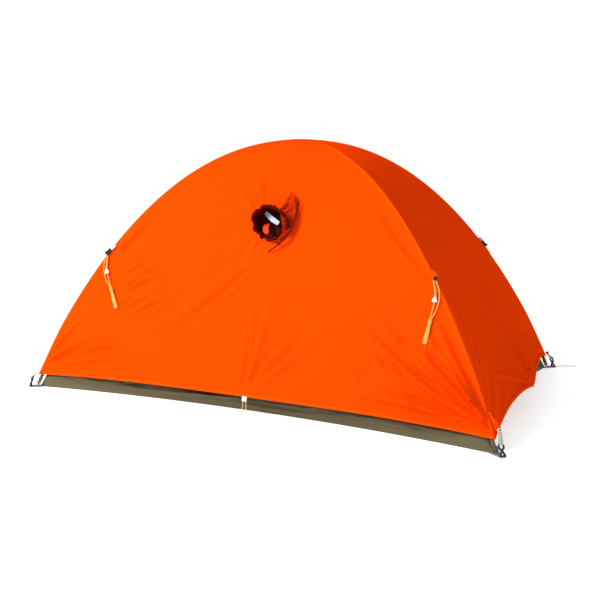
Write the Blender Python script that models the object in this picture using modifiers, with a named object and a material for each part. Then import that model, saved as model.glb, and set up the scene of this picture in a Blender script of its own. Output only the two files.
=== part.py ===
"""Two-person dome tent: two crossing poles, an inner tent with a tub floor, and a separate fly.

Metres, +Z up. The origin is the centre of the floor, on the ground. +X runs along the long side, and +Y
points to the long side with the doors. A wall is named front, right, rear or left as seen from -Y.
"""

import math

import bmesh
import bpy
from mathutils import Matrix, Vector

# Overall shape: the poles' feet stand on a rectangle, and each pole is an arch over one diagonal.
LENGTH = 2.10  # foot to foot along X
WIDTH = 1.234  # foot to foot along Y
HEIGHT = 1.086  # the fly at the crossing
ARCH_SHOULDER = 2.158  # how far the arch's shoulders stand out
ARCH_FOOT = 0.954  # how upright the arch's feet are

# Cloth, and the clearances that keep the pieces apart.
CLOTH = 0.0012
GAP = 0.0003  # between pieces that touch
SEAM = 0.0016  # each wall stops this far from the seam line, so that two walls' thicknesses clear
AIR = 0.0055  # free space between a sleeve and a wall

# Poles.
TUBE_RADIUS = 0.00425
TUBE_WALL = 0.0008
SPIGOT_PLAY = 0.00035
SPIGOT_LENGTH = 0.030
SPIGOT_SEAT = 0.020
SPIGOT_WALL = 0.0009
SHOCK_CORD_RADIUS = 0.00125
SLEEVE_PLAY = 0.00105
SLEEVE_WALL = 0.0012
CROSSING_GAP = 0.0020
SECTIONS = 4  # modelled lengths in each pole
STATIONS = 8  # straight steps in each length
FOOT_TRIM = 0.024  # the tube stops this far short of the arch's foot, for the pole tip
SLEEVE_FOOT = 0.085
SLEEVE_TOP = 0.060
TIP_PLUG = 0.020
TIP_PIN_RADIUS = 0.0028
TIP_PIN_LIFT = 0.0035  # the pin's end stands this far up the pole from the arch's foot
SLEEVE_RADIUS = TUBE_RADIUS + SLEEVE_PLAY + SLEEVE_WALL

# Walls.
COLUMNS = 8  # a multiple of 4, so that the doorway's edges fall on grid lines
ROWS = 14
DOOR_ROWS = 6  # the rows, from the hem up, that a doorway takes
TOP_SHARE = 0.006  # the walls stop this share of the arch from the crossing
FLY_HEM = 0.086
FLY_FLARE = 0.008  # the fly's corners stand out this much at the hem
FLY_FLARE_FROM = 0.90
FLY_HEM_SAG = -0.003
FLY_TOP_SAG = 0.010
SIDE_PULL = 0.036  # the short sides' hems are drawn out at the middle
SIDE_RISE = 0.030  # the short sides' hems rise this much on each side of it
CORNER_DROP = 0.030  # the fly's hems hang this much lower at the corners
HEM_SHAPE_FROM = 0.87
SIDE_PULL_FROM = 0.80
TUB_HEIGHT = 0.130
INNER_HEM_SAG = 0.036
INNER_TOP_SAG = 0.016
FLOOR_BOW = 0.070  # the floor's edges curve in between the corners

# Doors.
FLY_DOOR_FOOT = 0.55  # half widths at the foot and at the top
FLY_DOOR_TOP = 0.17
INNER_DOOR_FOOT = 0.48
INNER_DOOR_TOP = 0.15
DOOR_GAP = 0.0010
ZIP_START = 0.03  # where a slider rests and stops, as shares of the doorway's edge
SLIDER_SIZE = Vector((0.009, 0.014, 0.004))
PULL_LENGTH = 0.026
PULL_WIDTH = 0.006

# Vent in the front wall of the fly.
VENT_Z = 0.765
VENT_RADIUS = 0.050
VENT_WALL = 0.0014
VENT_LIP = 0.004  # the hole in the wall is this much smaller than the sleeve
VENT_MESH_PLAY = 0.0035
VENT_MESH_RISE = 0.004
VENT_CORD_RADIUS = 0.0022

# Corners.
TAB_HALF_WIDTH = 0.0125
TAB_THICKNESS = 0.0020
TAB_REACH = 0.040  # past the pole's foot
TAB_HOLE_PLAY = 0.0022
HOOK_HEIGHT = 0.048
HOOK_HALF_WIDTH = 0.013
HOOK_WAIST = 0.004
HOOK_THICKNESS = 0.0045
STRAP_WIDTH = 0.014
PEG_LOOP_RADIUS = 0.0015
PEG_LOOP_REACH = 0.100

# Guy lines, tied up in hanks that lie on the fly.
GUY_SHARE = 0.705
GUY_CORD = 0.0030
GUY_LOOP = 0.158  # the doubled stretch, down to the knot
GUY_SPREAD = 0.011
GUY_HANK = 0.088
GUY_HANK_HALF_WIDTH = 0.0075
GUY_THICKNESS = 0.0055
GUY_STAND_OFF = 0.0075
GUY_LEAN = {"front_left": 0.086, "front_right": 0.010, "rear_left": 0.0, "rear_right": 0.0}
TENSIONER_AT = 0.068
TENSIONER_SIZE = 0.018
TENSIONER_THICKNESS = 0.0025
HEM_LOOP_RADIUS = 0.0014

HALF_DIAGONAL = math.hypot(LENGTH, WIDTH) / 2
DIAGONAL = Vector((LENGTH, WIDTH, 0)).normalized()
UP = Vector((0, 0, 1))

# The long walls pass nearest to the poles, at the diagonal's small angle, so that angle sets the insets.
POLE_INSET = (SLEEVE_RADIUS + AIR) / DIAGONAL.y
POLE_STEP = 2 * TUBE_RADIUS + CROSSING_GAP  # the second pole passes under the first
INNER_INSET = 2 * POLE_INSET

# Each wall: the direction along it, so that along x up points out, and which diagonal part is which.
WALLS = {
    "front": (Vector((1, 0, 0)), Vector((0, -1, 0)), DIAGONAL.x, DIAGONAL.y),
    "right": (Vector((0, 1, 0)), Vector((1, 0, 0)), DIAGONAL.y, DIAGONAL.x),
    "rear": (Vector((-1, 0, 0)), Vector((0, 1, 0)), DIAGONAL.x, DIAGONAL.y),
    "left": (Vector((0, -1, 0)), Vector((-1, 0, 0)), DIAGONAL.y, DIAGONAL.x),
}
CORNERS = {"front_left": (-1, -1), "front_right": (1, -1), "rear_right": (1, 1), "rear_left": (-1, 1)}

# Colour, roughness and metallic value of each kind of material.
LOOKS = {
    "fly_cloth": ((0.95, 0.13, 0.01), 0.55, 0.0),
    "inner_cloth": ((0.80, 0.78, 0.70), 0.70, 0.0),
    "tub_cloth": ((0.14, 0.12, 0.07), 0.55, 0.0),
    "vent_cloth": ((0.45, 0.04, 0.01), 0.65, 0.0),
    "mesh_cloth": ((0.70, 0.76, 0.80), 0.80, 0.0),
    "aluminium": ((0.72, 0.72, 0.74), 0.30, 1.0),
    "rubber": ((0.05, 0.05, 0.05), 0.60, 0.0),
    "sleeve_cloth": ((0.30, 0.30, 0.30), 0.70, 0.0),
    "black_plastic": ((0.02, 0.02, 0.02), 0.40, 0.0),
    "white_plastic": ((0.90, 0.90, 0.86), 0.35, 0.0),
    "webbing": ((0.45, 0.44, 0.50), 0.80, 0.0),
    "elastic": ((0.55, 0.60, 0.54), 0.80, 0.0),
    "guy_cord": ((0.95, 0.62, 0.12), 0.70, 0.0),
    "peg_cord": ((0.90, 0.80, 0.45), 0.70, 0.0),
    "red_cord": ((0.50, 0.03, 0.01), 0.70, 0.0),
}


# ---------------------------------------------------------------- scene and materials

def clear_scene():
    for obj in list(bpy.data.objects):
        bpy.data.objects.remove(obj, do_unlink=True)


def new_collection(name):
    collection = bpy.data.collections.new(name)
    bpy.context.scene.collection.children.link(collection)
    return collection


def new_material(name, look):
    colour, roughness, metallic = LOOKS[look]
    material = bpy.data.materials.new(name)
    material.use_nodes = True
    shader = material.node_tree.nodes["Principled BSDF"]
    shader.inputs["Base Color"].default_value = (*colour, 1.0)
    shader.inputs["Roughness"].default_value = roughness
    shader.inputs["Metallic"].default_value = metallic
    material.diffuse_color = (*colour, 1.0)
    return material


def add_part(name, data, look, place=None):
    """Puts a mesh or curve in the tent's collection, as one named sub-part."""
    obj = bpy.data.objects.new(name, data)
    PARTS.objects.link(obj)
    data.materials.append(new_material(name, look))
    if place is not None:
        obj.matrix_world = place
    return obj


def add_cutter(name, data, place=None):
    obj = bpy.data.objects.new(name, data)
    CUTTERS.objects.link(obj)
    obj.hide_render = True
    obj.display_type = "WIRE"
    if place is not None:
        obj.matrix_world = place
    return obj


def mesh_from(bm, name):
    mesh = bpy.data.meshes.new(name)
    bm.to_mesh(mesh)
    bm.free()
    return mesh


def cut(obj, cutter):
    boolean = obj.modifiers.new("cut", "BOOLEAN")
    boolean.operation = "DIFFERENCE"
    boolean.solver = "EXACT"
    boolean.object = cutter


# ---------------------------------------------------------------- the arch and points along a line

def arch_height(share):
    """Height of the arch as a share of its rise, at a share of its half span from the middle."""
    return (1 - min(abs(share), 1.0) ** ARCH_SHOULDER) ** ARCH_FOOT


def share_at(z, inset):
    """The share of the half span at which an arch that lies inside the fly by inset has height z."""
    return (1 - (z / (HEIGHT - inset)) ** (1 / ARCH_FOOT)) ** (1 / ARCH_SHOULDER)


def at_lengths(points, lengths):
    """Points at the given lengths along a line of points."""
    found = []
    for wanted in lengths:
        left = wanted
        for start, end in zip(points, points[1:]):
            step = (end - start).length
            if left <= step or end is points[-1]:
                found.append(start + (end - start) * (left / step))
                break
            left -= step
    return found


def line_length(points):
    return sum((b - a).length for a, b in zip(points, points[1:]))


def smooth_route(route, spacing):
    """Evenly spaced points on a smooth curve through the route's points."""
    ends = [route[0] * 2 - route[1], *route, route[-1] * 2 - route[-2]]
    fine = []
    for p0, p1, p2, p3 in zip(ends, ends[1:], ends[2:], ends[3:]):
        for step in range(12):
            t = step / 12
            fine.append(
                0.5 * (2 * p1 + (p2 - p0) * t + (2 * p0 - 5 * p1 + 4 * p2 - p3) * t * t
                       + (3 * p1 - p0 - 3 * p2 + p3) * t ** 3)
            )
    fine.append(route[-1])
    count = max(4, round(line_length(fine) / spacing))
    return at_lengths(fine, [line_length(fine) * i / count for i in range(count + 1)])


# ---------------------------------------------------------------- builders of each kind of shape

def tube_curve(name, points, radii, sides_level=2):
    """A round tube with filled caps through the points, with a radius at each."""
    curve = bpy.data.curves.new(name, "CURVE")
    curve.dimensions = "3D"
    curve.bevel_depth = 1.0
    curve.bevel_resolution = sides_level
    curve.use_fill_caps = True
    spline = curve.splines.new("POLY")
    spline.points.add(len(points) - 1)
    for knot, point, radius in zip(spline.points, points, radii):
        knot.co = (*point, 1.0)
        knot.radius = radius
    return curve


def tube_mesh(name, points, radii, sides_level=2):
    """The same tube as a closed mesh, which a Boolean can cut."""
    obj = bpy.data.objects.new(name, tube_curve(name, points, radii, sides_level))
    CUTTERS.objects.link(obj)
    graph = bpy.context.evaluated_depsgraph_get()
    mesh = bpy.data.meshes.new_from_object(obj.evaluated_get(graph))
    bpy.data.objects.remove(obj)
    bm = bmesh.new()
    bm.from_mesh(mesh)
    bmesh.ops.remove_doubles(bm, verts=bm.verts, dist=0.000001)
    bmesh.ops.recalc_face_normals(bm, faces=bm.faces)
    bm.to_mesh(mesh)
    bm.free()
    return mesh


def hollow_tube(name, look, outer, bore, sides_level=2):
    """A tube with a bore. outer and bore are each (points, radii), and the bore runs out of both ends."""
    part = add_part(name, tube_mesh(name, *outer, sides_level), look)
    cut(part, add_cutter(name + "_bore", tube_mesh(name + "_bore", *bore, sides_level)))
    return part


def cord(name, look, route, radius):
    points = smooth_route(route, radius * 5)
    return add_part(name, tube_curve(name, points, [radius] * len(points)), look)


def plate(name, look, outline, thickness, place, holes=()):
    """A flat piece with an outline and holes in its local XY plane, centred on it in thickness."""
    curve = bpy.data.curves.new(name, "CURVE")
    curve.dimensions = "2D"
    curve.fill_mode = "BOTH"
    curve.extrude = thickness / 2
    for loop in (outline, *holes):
        spline = curve.splines.new("POLY")
        spline.points.add(len(loop) - 1)
        for knot, (x, y) in zip(spline.points, loop):
            knot.co = (x, y, 0, 1)
        spline.use_cyclic_u = True
    return add_part(name, curve, look, place)


def turned(name, look, profile, steps, place):
    """A turned piece: profile is (radius, height) points, from the top of the axis to its bottom."""
    bm = bmesh.new()
    verts = [bm.verts.new((radius, 0, height)) for radius, height in profile]
    for a, b in zip(verts, verts[1:]):
        bm.edges.new((a, b))
    part = add_part(name, mesh_from(bm, name), look, place)
    screw = part.modifiers.new("turn", "SCREW")
    screw.steps = steps
    screw.render_steps = steps
    screw.use_merge_vertices = True
    screw.merge_threshold = 0.00001
    screw.use_normal_calculate = False
    return part


def cloth(name, look, columns, rows, place, keep=None):
    """A sheet of cloth: a grid laid over place(u, v), u from -1 to 1 and v from 0 to 1, given thickness inwards."""
    bm = bmesh.new()
    bmesh.ops.create_grid(bm, x_segments=columns, y_segments=rows, size=1)
    if keep is not None:
        dropped = [f for f in bm.faces if not keep(*f.calc_center_median().xy)]
        bmesh.ops.delete(bm, geom=dropped, context="FACES")
    for vert in bm.verts:
        vert.co = place(vert.co.x, (vert.co.y + 1) / 2)
    part = add_part(name, mesh_from(bm, name), look)
    solid = part.modifiers.new("thickness", "SOLIDIFY")
    solid.thickness = CLOTH
    solid.offset = -1
    return part


def frame_at(origin, x_axis, y_axis):
    """A placement whose local X and Y lie along the given directions."""
    x = x_axis.normalized()
    z = x.cross(y_axis).normalized()
    y = z.cross(x)
    rotation = Matrix((x, y, z)).transposed().to_4x4()
    return Matrix.Translation(origin) @ rotation


def arc_points(centre, radius, start, end, count):
    """Points on an arc between two angles in degrees."""
    angles = [math.radians(start + (end - start) * i / (count - 1)) for i in range(count)]
    return [(centre[0] + radius * math.cos(a), centre[1] + radius * math.sin(a)) for a in angles]


def rounded_box(left, right, bottom, top, radius, count=4):
    """A rectangle's outline with rounded corners."""
    points = []
    for x, y, start in (
        (right - radius, top - radius, 0),
        (left + radius, top - radius, 90),
        (left + radius, bottom + radius, 180),
        (right - radius, bottom + radius, 270),
    ):
        points += arc_points((x, y), radius, start, start + 90, count)
    return points


# ---------------------------------------------------------------- walls

class Layer:
    """One skin of walls: the fly or the inner tent."""

    def __init__(self, inset, hem, hem_sag, top_sag, door_foot, door_top, flare=0.0, pull=0.0, rise=0.0,
                 drop=0.0):
        self.inset = inset
        self.hem = share_at(hem, inset)
        self.hem_sag = hem_sag
        self.top_sag = top_sag
        self.door_foot = door_foot
        self.door_top = door_top
        self.flare = flare
        self.pull = pull
        self.rise = rise
        self.drop = drop
        self.door_share = self.share(DOOR_ROWS / ROWS)

    def share(self, v):
        return self.hem + (TOP_SHARE - self.hem) * v

    def edge(self, share):
        """Distance from the middle along the diagonal, and height, of the seam at a share of the arch."""
        spread = max(0.0, share - FLY_FLARE_FROM) / (self.hem - FLY_FLARE_FROM)
        distance = (HALF_DIAGONAL - self.inset) * share + self.flare * spread ** 2
        return distance, (HEIGHT - self.inset) * arch_height(share)

    def middle(self, z, across):
        """How far out a wall's middle lies at a height in the straight stretch from hem to door top."""
        foot, foot_z = self.edge(self.hem)
        top, top_z = self.edge(self.door_share)
        foot_out = foot * across - self.hem_sag
        top_out = top * across - self.top_sag
        return foot_out + (top_out - foot_out) * (z - foot_z) / (top_z - foot_z)

    def sag(self, share, across):
        """How far inside its seams a wall's middle lies."""
        if share < self.door_share:
            return self.top_sag * share / self.door_share
        distance, z = self.edge(share)
        return distance * across - self.middle(z, across)

    def door_half(self, z):
        foot_z = self.edge(self.hem)[1]
        top_z = self.edge(self.door_share)[1]
        return self.door_foot + (self.door_top - self.door_foot) * (z - foot_z) / (top_z - foot_z)

    def point(self, wall, u, v):
        """A point of a wall's outer face, u from -1 to 1 along it and v from 0 at the hem to 1."""
        along, out, length_part, width_part = WALLS[wall]
        share = self.share(v)
        distance, z = self.edge(share)
        half = distance * length_part - SEAM
        sag = self.sag(share, width_part)
        if wall == "rear":
            return self.rear_point(u, share, z, half, distance * width_part, sag)
        reach = distance * width_part - sag * (1 - u * u)
        if wall in ("left", "right"):
            ramp = max(0.0, share - SIDE_PULL_FROM) / (self.hem - SIDE_PULL_FROM)
            reach += self.pull * (1 - abs(u)) ** 2 * ramp ** 2
            z += self.rise * 4 * abs(u) * (1 - abs(u)) * self.hem_ramp(share)
        z -= self.drop * abs(u) ** 3 * self.hem_ramp(share)
        return along * (half * u) + out * reach + UP * z

    def hem_ramp(self, share):
        """From 0 high on the wall to 1 at the hem."""
        return (max(0.0, share - HEM_SHAPE_FROM) / (self.hem - HEM_SHAPE_FROM)) ** 2

    def rear_point(self, u, share, z, half, edge_out, sag):
        """The rear wall is flat between the doorway's edges, which lie at u of -0.5 and 0.5."""
        along, out = WALLS["rear"][:2]
        if share < self.door_share:
            door = self.door_top * share / self.door_share
        else:
            door = self.door_half(z)
        outside = max(0.0, abs(u) - 0.5) * 2
        offset = min(abs(u), 0.5) * 2 * door + outside * (half - door)
        z -= self.drop * outside ** 3 * self.hem_ramp(share)
        return along * math.copysign(offset, u) + out * (edge_out - sag * (1 - outside)) + UP * z

    def front_surface(self, x, z):
        """The outer face of the front wall at x and height z."""
        share = share_at(z, self.inset)
        distance = self.edge(share)[0]
        u = x / (distance * DIAGONAL.x)
        sag = self.sag(share, DIAGONAL.y)
        return Vector((x, -(distance * DIAGONAL.y - sag * (1 - u * u)), z))

    def door_point(self, u, v):
        """A point of the door's outer face: the flat stretch of the rear wall, less the gap round it."""
        along, out, _, width_part = WALLS["rear"]
        foot_z = self.edge(self.hem)[1]
        top_z = self.edge(self.door_share)[1] - DOOR_GAP
        z = foot_z + (top_z - foot_z) * v
        return along * (u * (self.door_half(z) - DOOR_GAP)) + out * self.middle(z, width_part) + UP * z


FLY = Layer(0.0, FLY_HEM, FLY_HEM_SAG, FLY_TOP_SAG, FLY_DOOR_FOOT, FLY_DOOR_TOP, FLY_FLARE, SIDE_PULL,
            SIDE_RISE, CORNER_DROP)
INNER = Layer(INNER_INSET, TUB_HEIGHT, INNER_HEM_SAG, INNER_TOP_SAG, INNER_DOOR_FOOT, INNER_DOOR_TOP)


def build_walls(prefix, look, layer):
    for wall in ("front", "left", "right"):
        cloth(f"{prefix}_{wall}_wall", look, COLUMNS, ROWS,
              lambda u, v, wall=wall: layer.point(wall, u, v))
    door_top_row = DOOR_ROWS / ROWS * 2 - 1
    cloth(f"{prefix}_rear_wall", look, COLUMNS, ROWS, lambda u, v: layer.point("rear", u, v),
          keep=lambda u, v: abs(u) > 0.5 or v > door_top_row)
    cloth(f"{prefix}_door", look, COLUMNS // 2, DOOR_ROWS, layer.door_point)


def build_tub():
    """The floor and its low wall in one piece of cloth. Rings of a square grid become the floor and the wall."""
    size = 16
    floor_ring = 1 - 2 / size
    corner = INNER.edge(1.0)[0] * DIAGONAL

    def place(u, v):
        v = v * 2 - 1
        ring = max(abs(u), abs(v))
        if ring < 1e-6:
            return Vector((0, 0, 0))
        a, b = u / ring, v / ring
        if abs(b) >= abs(a):
            wall, along_wall = ("rear", -a) if b > 0 else ("front", a)
        else:
            wall, along_wall = ("right", b) if a > 0 else ("left", -b)
        along, out, length_part, width_part = WALLS[wall]
        half = abs(corner.dot(along))
        reach = abs(corner.dot(out)) - FLOOR_BOW * (1 - along_wall ** 2)
        ground = along * (half * along_wall) + out * reach
        if ring <= floor_ring + 1e-6:
            return ground * (ring / floor_ring)
        return INNER.point(wall, along_wall, 0) - UP * DOOR_GAP

    tub = cloth("tub_floor", "tub_cloth", size, size, place)
    tub.data.flip_normals()


# ---------------------------------------------------------------- poles and sleeves

def pole_line(index):
    """The bent line that pole index follows from left to right. Its sections join between its corners."""
    direction = Vector((DIAGONAL.x, DIAGONAL.y if index == 0 else -DIAGONAL.y, 0))
    half_span = HALF_DIAGONAL - POLE_INSET
    rise = HEIGHT - POLE_INSET - POLE_STEP * index
    fine = []
    for i in range(401):
        share = -1 + 2 * i / 400
        fine.append(direction * (half_span * share) + UP * (rise * arch_height(share)))
    step = line_length(fine) / (SECTIONS * STATIONS)
    corners = [step * (i + 0.5) for i in range(SECTIONS * STATIONS)]
    return [fine[0], *at_lengths(fine, corners), fine[-1]]


def stretch(points, start, end):
    """The lengths of the line's corners between two lengths, with both ends."""
    lengths = [start]
    travelled = 0.0
    for a, b in zip(points, points[1:]):
        travelled += (b - a).length
        if start + 0.002 < travelled < end - 0.002:
            lengths.append(travelled)
    return lengths + [end]


def stepped(points, steps):
    """Points and radii along a line. steps is (start, end, radius) for each stretch."""
    lengths = []
    radii = []
    for start, end, radius in steps:
        part = stretch(points, start, end)
        lengths += part
        radii += [radius] * len(part)
    return at_lengths(points, lengths), radii


def build_pole(index, letter):
    points = pole_line(index)
    whole = line_length(points)
    joints = [whole * k / SECTIONS for k in range(SECTIONS + 1)]
    joints[0] = FOOT_TRIM
    joints[-1] = whole - FOOT_TRIM
    bore = TUBE_RADIUS - TUBE_WALL
    spigot = bore - SPIGOT_PLAY
    spigot_bore = spigot - SPIGOT_WALL
    step = 0.0002
    overrun = 0.006
    for k in range(SECTIONS):
        start = joints[k] + GAP / 2
        end = joints[k + 1] - GAP / 2
        outer = [(start, end, TUBE_RADIUS)]
        inside = [(start - overrun, end + overrun, bore)]
        if k < SECTIONS - 1:
            outer.append((end + step, end + SPIGOT_LENGTH, spigot))
            seat = end - SPIGOT_SEAT
            inside = [(start - overrun, seat, bore),
                      (seat + step, end + SPIGOT_LENGTH + overrun, spigot_bore)]
        hollow_tube(f"pole_{letter}_section_{k + 1}", "aluminium", stepped(points, outer),
                    stepped(points, inside))
    for name, start, toward in (("left", points[0], points[1]), ("right", points[-1], points[-2])):
        build_pole_tip(f"pole_{letter}_tip_{name}", start, (toward - start).normalized())
    plug = FOOT_TRIM + TIP_PLUG + GAP * 2
    line = stepped(points, [(plug, whole - plug, SHOCK_CORD_RADIUS)])
    add_part(f"pole_{letter}_shock_cord", tube_curve("shock_cord", *line), "rubber")
    build_sleeves(letter, points, whole, index)


def build_pole_tip(name, foot, up_pole):
    """The metal end of a pole: a plug in the tube, a collar under it, and a pin that stands in the corner tab."""
    plug_radius = TUBE_RADIUS - TUBE_WALL - SPIGOT_PLAY * 2
    collar_top = FOOT_TRIM - GAP / 2
    profile = [
        (0, FOOT_TRIM + TIP_PLUG),
        (plug_radius, FOOT_TRIM + TIP_PLUG),
        (plug_radius, collar_top),
        (TUBE_RADIUS, collar_top),
        (TUBE_RADIUS, collar_top - 0.010),
        (TIP_PIN_RADIUS, collar_top - 0.012),
        (TIP_PIN_RADIUS, TIP_PIN_LIFT + 0.001),
        (TIP_PIN_RADIUS * 0.7, TIP_PIN_LIFT),
        (0, TIP_PIN_LIFT),
    ]
    sideways = up_pole.cross(UP).normalized()
    turned(name, "aluminium", profile, 10, frame_at(foot, sideways, up_pole.cross(sideways)))


def build_sleeves(letter, points, whole, index):
    """The cloth sleeves on the inner tent that hold the pole, one on each side of the crossing."""
    spans = {
        "left": (SLEEVE_FOOT, whole / 2 - SLEEVE_TOP),
        "right": (whole / 2 + SLEEVE_TOP, whole - SLEEVE_FOOT),
    }
    for side, (start, end) in spans.items():
        outer = stepped(points, [(start, end, SLEEVE_RADIUS)])
        bore = stepped(points, [(start - 0.01, end + 0.01, SLEEVE_RADIUS - SLEEVE_WALL)])
        hollow_tube(f"sleeve_{letter}_{side}", "sleeve_cloth", outer, bore)


# ---------------------------------------------------------------- corners

def corner_frame(signs):
    """Directions out along the diagonal and across it, level with the ground, at one corner."""
    out = Vector((DIAGONAL.x * signs[0], DIAGONAL.y * signs[1], 0))
    return out, UP.cross(out)


def build_corner(name, signs):
    out, across = corner_frame(signs)
    foot = HALF_DIAGONAL - POLE_INSET
    start = HALF_DIAGONAL - INNER_INSET + GAP
    end = foot + TAB_REACH
    plate(
        f"corner_tab_{name}", "webbing",
        rounded_box(start - foot, end - foot, -TAB_HALF_WIDTH, TAB_HALF_WIDTH, 0.003),
        TAB_THICKNESS, frame_at(out * foot + UP * (TAB_THICKNESS / 2), out, across),
        holes=[arc_points((0, 0), TIP_PIN_RADIUS + TAB_HOLE_PLAY, 0, 330, 12)],
    )

    hook_foot = foot + 0.030
    hook_base = out * hook_foot + UP * (TAB_THICKNESS + HOOK_THICKNESS / 2 + GAP)
    hook_up = (UP - out * 0.28).normalized()
    plate(f"corner_hook_{name}", "black_plastic", hook_outline(), HOOK_THICKNESS,
          frame_at(hook_base, across, hook_up), holes=[hook_eye()])

    strap_top = out * (FLY.edge(FLY.hem)[0] + CLOTH + 0.003) + UP * (FLY_HEM + 0.010)
    hook_top = hook_base + hook_up * HOOK_HEIGHT
    strap_foot = hook_top + UP * 0.002 - out * (HOOK_THICKNESS / 2)
    length = (strap_top - strap_foot).length
    plate(f"fly_strap_{name}", "elastic",
          rounded_box(-STRAP_WIDTH / 2, STRAP_WIDTH / 2, 0, length, 0.002, 3),
          CLOTH, frame_at(strap_foot, across, strap_top - strap_foot))

    loop_start = end + PEG_LOOP_RADIUS + GAP
    rest = UP * (PEG_LOOP_RADIUS + GAP)
    loop = [(0.000, 0.005), (0.030, 0.010), (0.065, 0.012), (0.090, 0.008), (PEG_LOOP_REACH, 0.0)]
    sides = [(a, b) for a, b in loop] + [(a, -b) for a, b in reversed(loop[:-1])]
    cord(f"peg_loop_{name}", "peg_cord",
         [out * (loop_start + a) + across * b + rest for a, b in sides], PEG_LOOP_RADIUS)


def hook_outline():
    """An upright hook with two arms above and two legs below a narrow waist."""
    half, waist, top = HOOK_HALF_WIDTH, HOOK_WAIST, HOOK_HEIGHT
    middle = top * 0.46
    right = [(half, 0.0), (half, top * 0.16), (waist, middle), (half, top * 0.80), (half * 0.8, top)]
    return right + [(-x, y) for x, y in reversed(right)]


def hook_eye():
    return arc_points((0, HOOK_HEIGHT * 0.78), HOOK_HALF_WIDTH * 0.45, 0, 320, 9)


# ---------------------------------------------------------------- guy lines and the hem loop

def guy_outline():
    """Half the outline of a tied-up guy line: (half width, distance down) from the top to the end."""
    loop = []
    for i in range(7):
        share = i / 6
        loop.append((GUY_CORD + GUY_SPREAD * math.sin(math.pi * share), GUY_LOOP * share))
    end = GUY_LOOP + GUY_HANK
    hank = [(GUY_HANK_HALF_WIDTH, GUY_LOOP + 0.015)]
    hank += [(x, y) for x, y in arc_points((0, end - GUY_HANK_HALF_WIDTH), GUY_HANK_HALF_WIDTH, 0, 72, 4)]
    return loop + hank


def guy_hole():
    """The opening between the two strands above the knot."""
    side = []
    for i in range(1, 6):
        share = i / 6
        side.append((GUY_SPREAD * math.sin(math.pi * share) - GUY_CORD / 2, GUY_LOOP * share))
    return side + [(-x, y) for x, y in reversed(side)]


def build_guy(name, signs):
    """A guy line in its hank, hanging from the seam and lying on the long wall, and its tensioner."""
    distance, z = FLY.edge(GUY_SHARE)
    top_x = distance * DIAGONAL.x - 0.004
    drop = 0.94 * (GUY_LOOP + GUY_HANK)
    top = FLY.front_surface(top_x, z)
    foot = FLY.front_surface(top_x - GUY_LEAN[name], z - drop)
    beside = FLY.front_surface(top_x - 0.05, z - drop / 2)
    middle = (top + foot) / 2
    to_side = Matrix.Diagonal((signs[0], -signs[1], 1))
    down = (foot - top).normalized()
    normal = down.cross(beside - middle).normalized()
    if normal.y > 0:
        normal.negate()
    across = to_side @ down.cross(normal)
    down, normal = to_side @ down, to_side @ normal
    origin = to_side @ top + normal * GUY_STAND_OFF
    outline = guy_outline()
    plate(f"guy_line_{name}", "guy_cord", outline + [(-x, y) for x, y in reversed(outline)],
          GUY_THICKNESS, frame_at(origin, across, down), holes=[guy_hole()])
    lift = GUY_THICKNESS / 2 + GAP + TENSIONER_THICKNESS / 2
    side = GUY_SPREAD + GUY_CORD / 2
    size = TENSIONER_SIZE
    place = frame_at(origin + down * TENSIONER_AT + across * side + normal * lift, across, down)
    plate(f"guy_tensioner_{name}", "white_plastic",
          [(-size * 0.16, -size / 2), (size * 0.16, -size / 2), (size / 2, size / 2), (-size / 2, size / 2)],
          TENSIONER_THICKNESS, place, holes=[arc_points((0, size * 0.2), size * 0.14, 0, 315, 8)])


def build_hem_loop():
    """A doubled cord from the middle of the front hem to the ground."""
    hem = FLY.front_surface(0.0, FLY_HEM)
    ground = HEM_LOOP_RADIUS + GAP
    side = [(-0.006, 0.002, FLY_HEM - HEM_LOOP_RADIUS - GAP), (-0.007, -0.004, 0.055),
            (-0.008, -0.008, 0.025), (-0.008, -0.016, 0.006), (-0.007, -0.028, ground)]
    back = [(-x, y, z) for x, y, z in reversed(side)]
    turn = [(0.0, -0.036, ground)]
    route = [Vector((hem.x + 0.010 + x, hem.y + y, z)) for x, y, z in side + turn + back]
    cord("hem_loop_front", "peg_cord", route, HEM_LOOP_RADIUS)


# ---------------------------------------------------------------- vent

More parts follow.
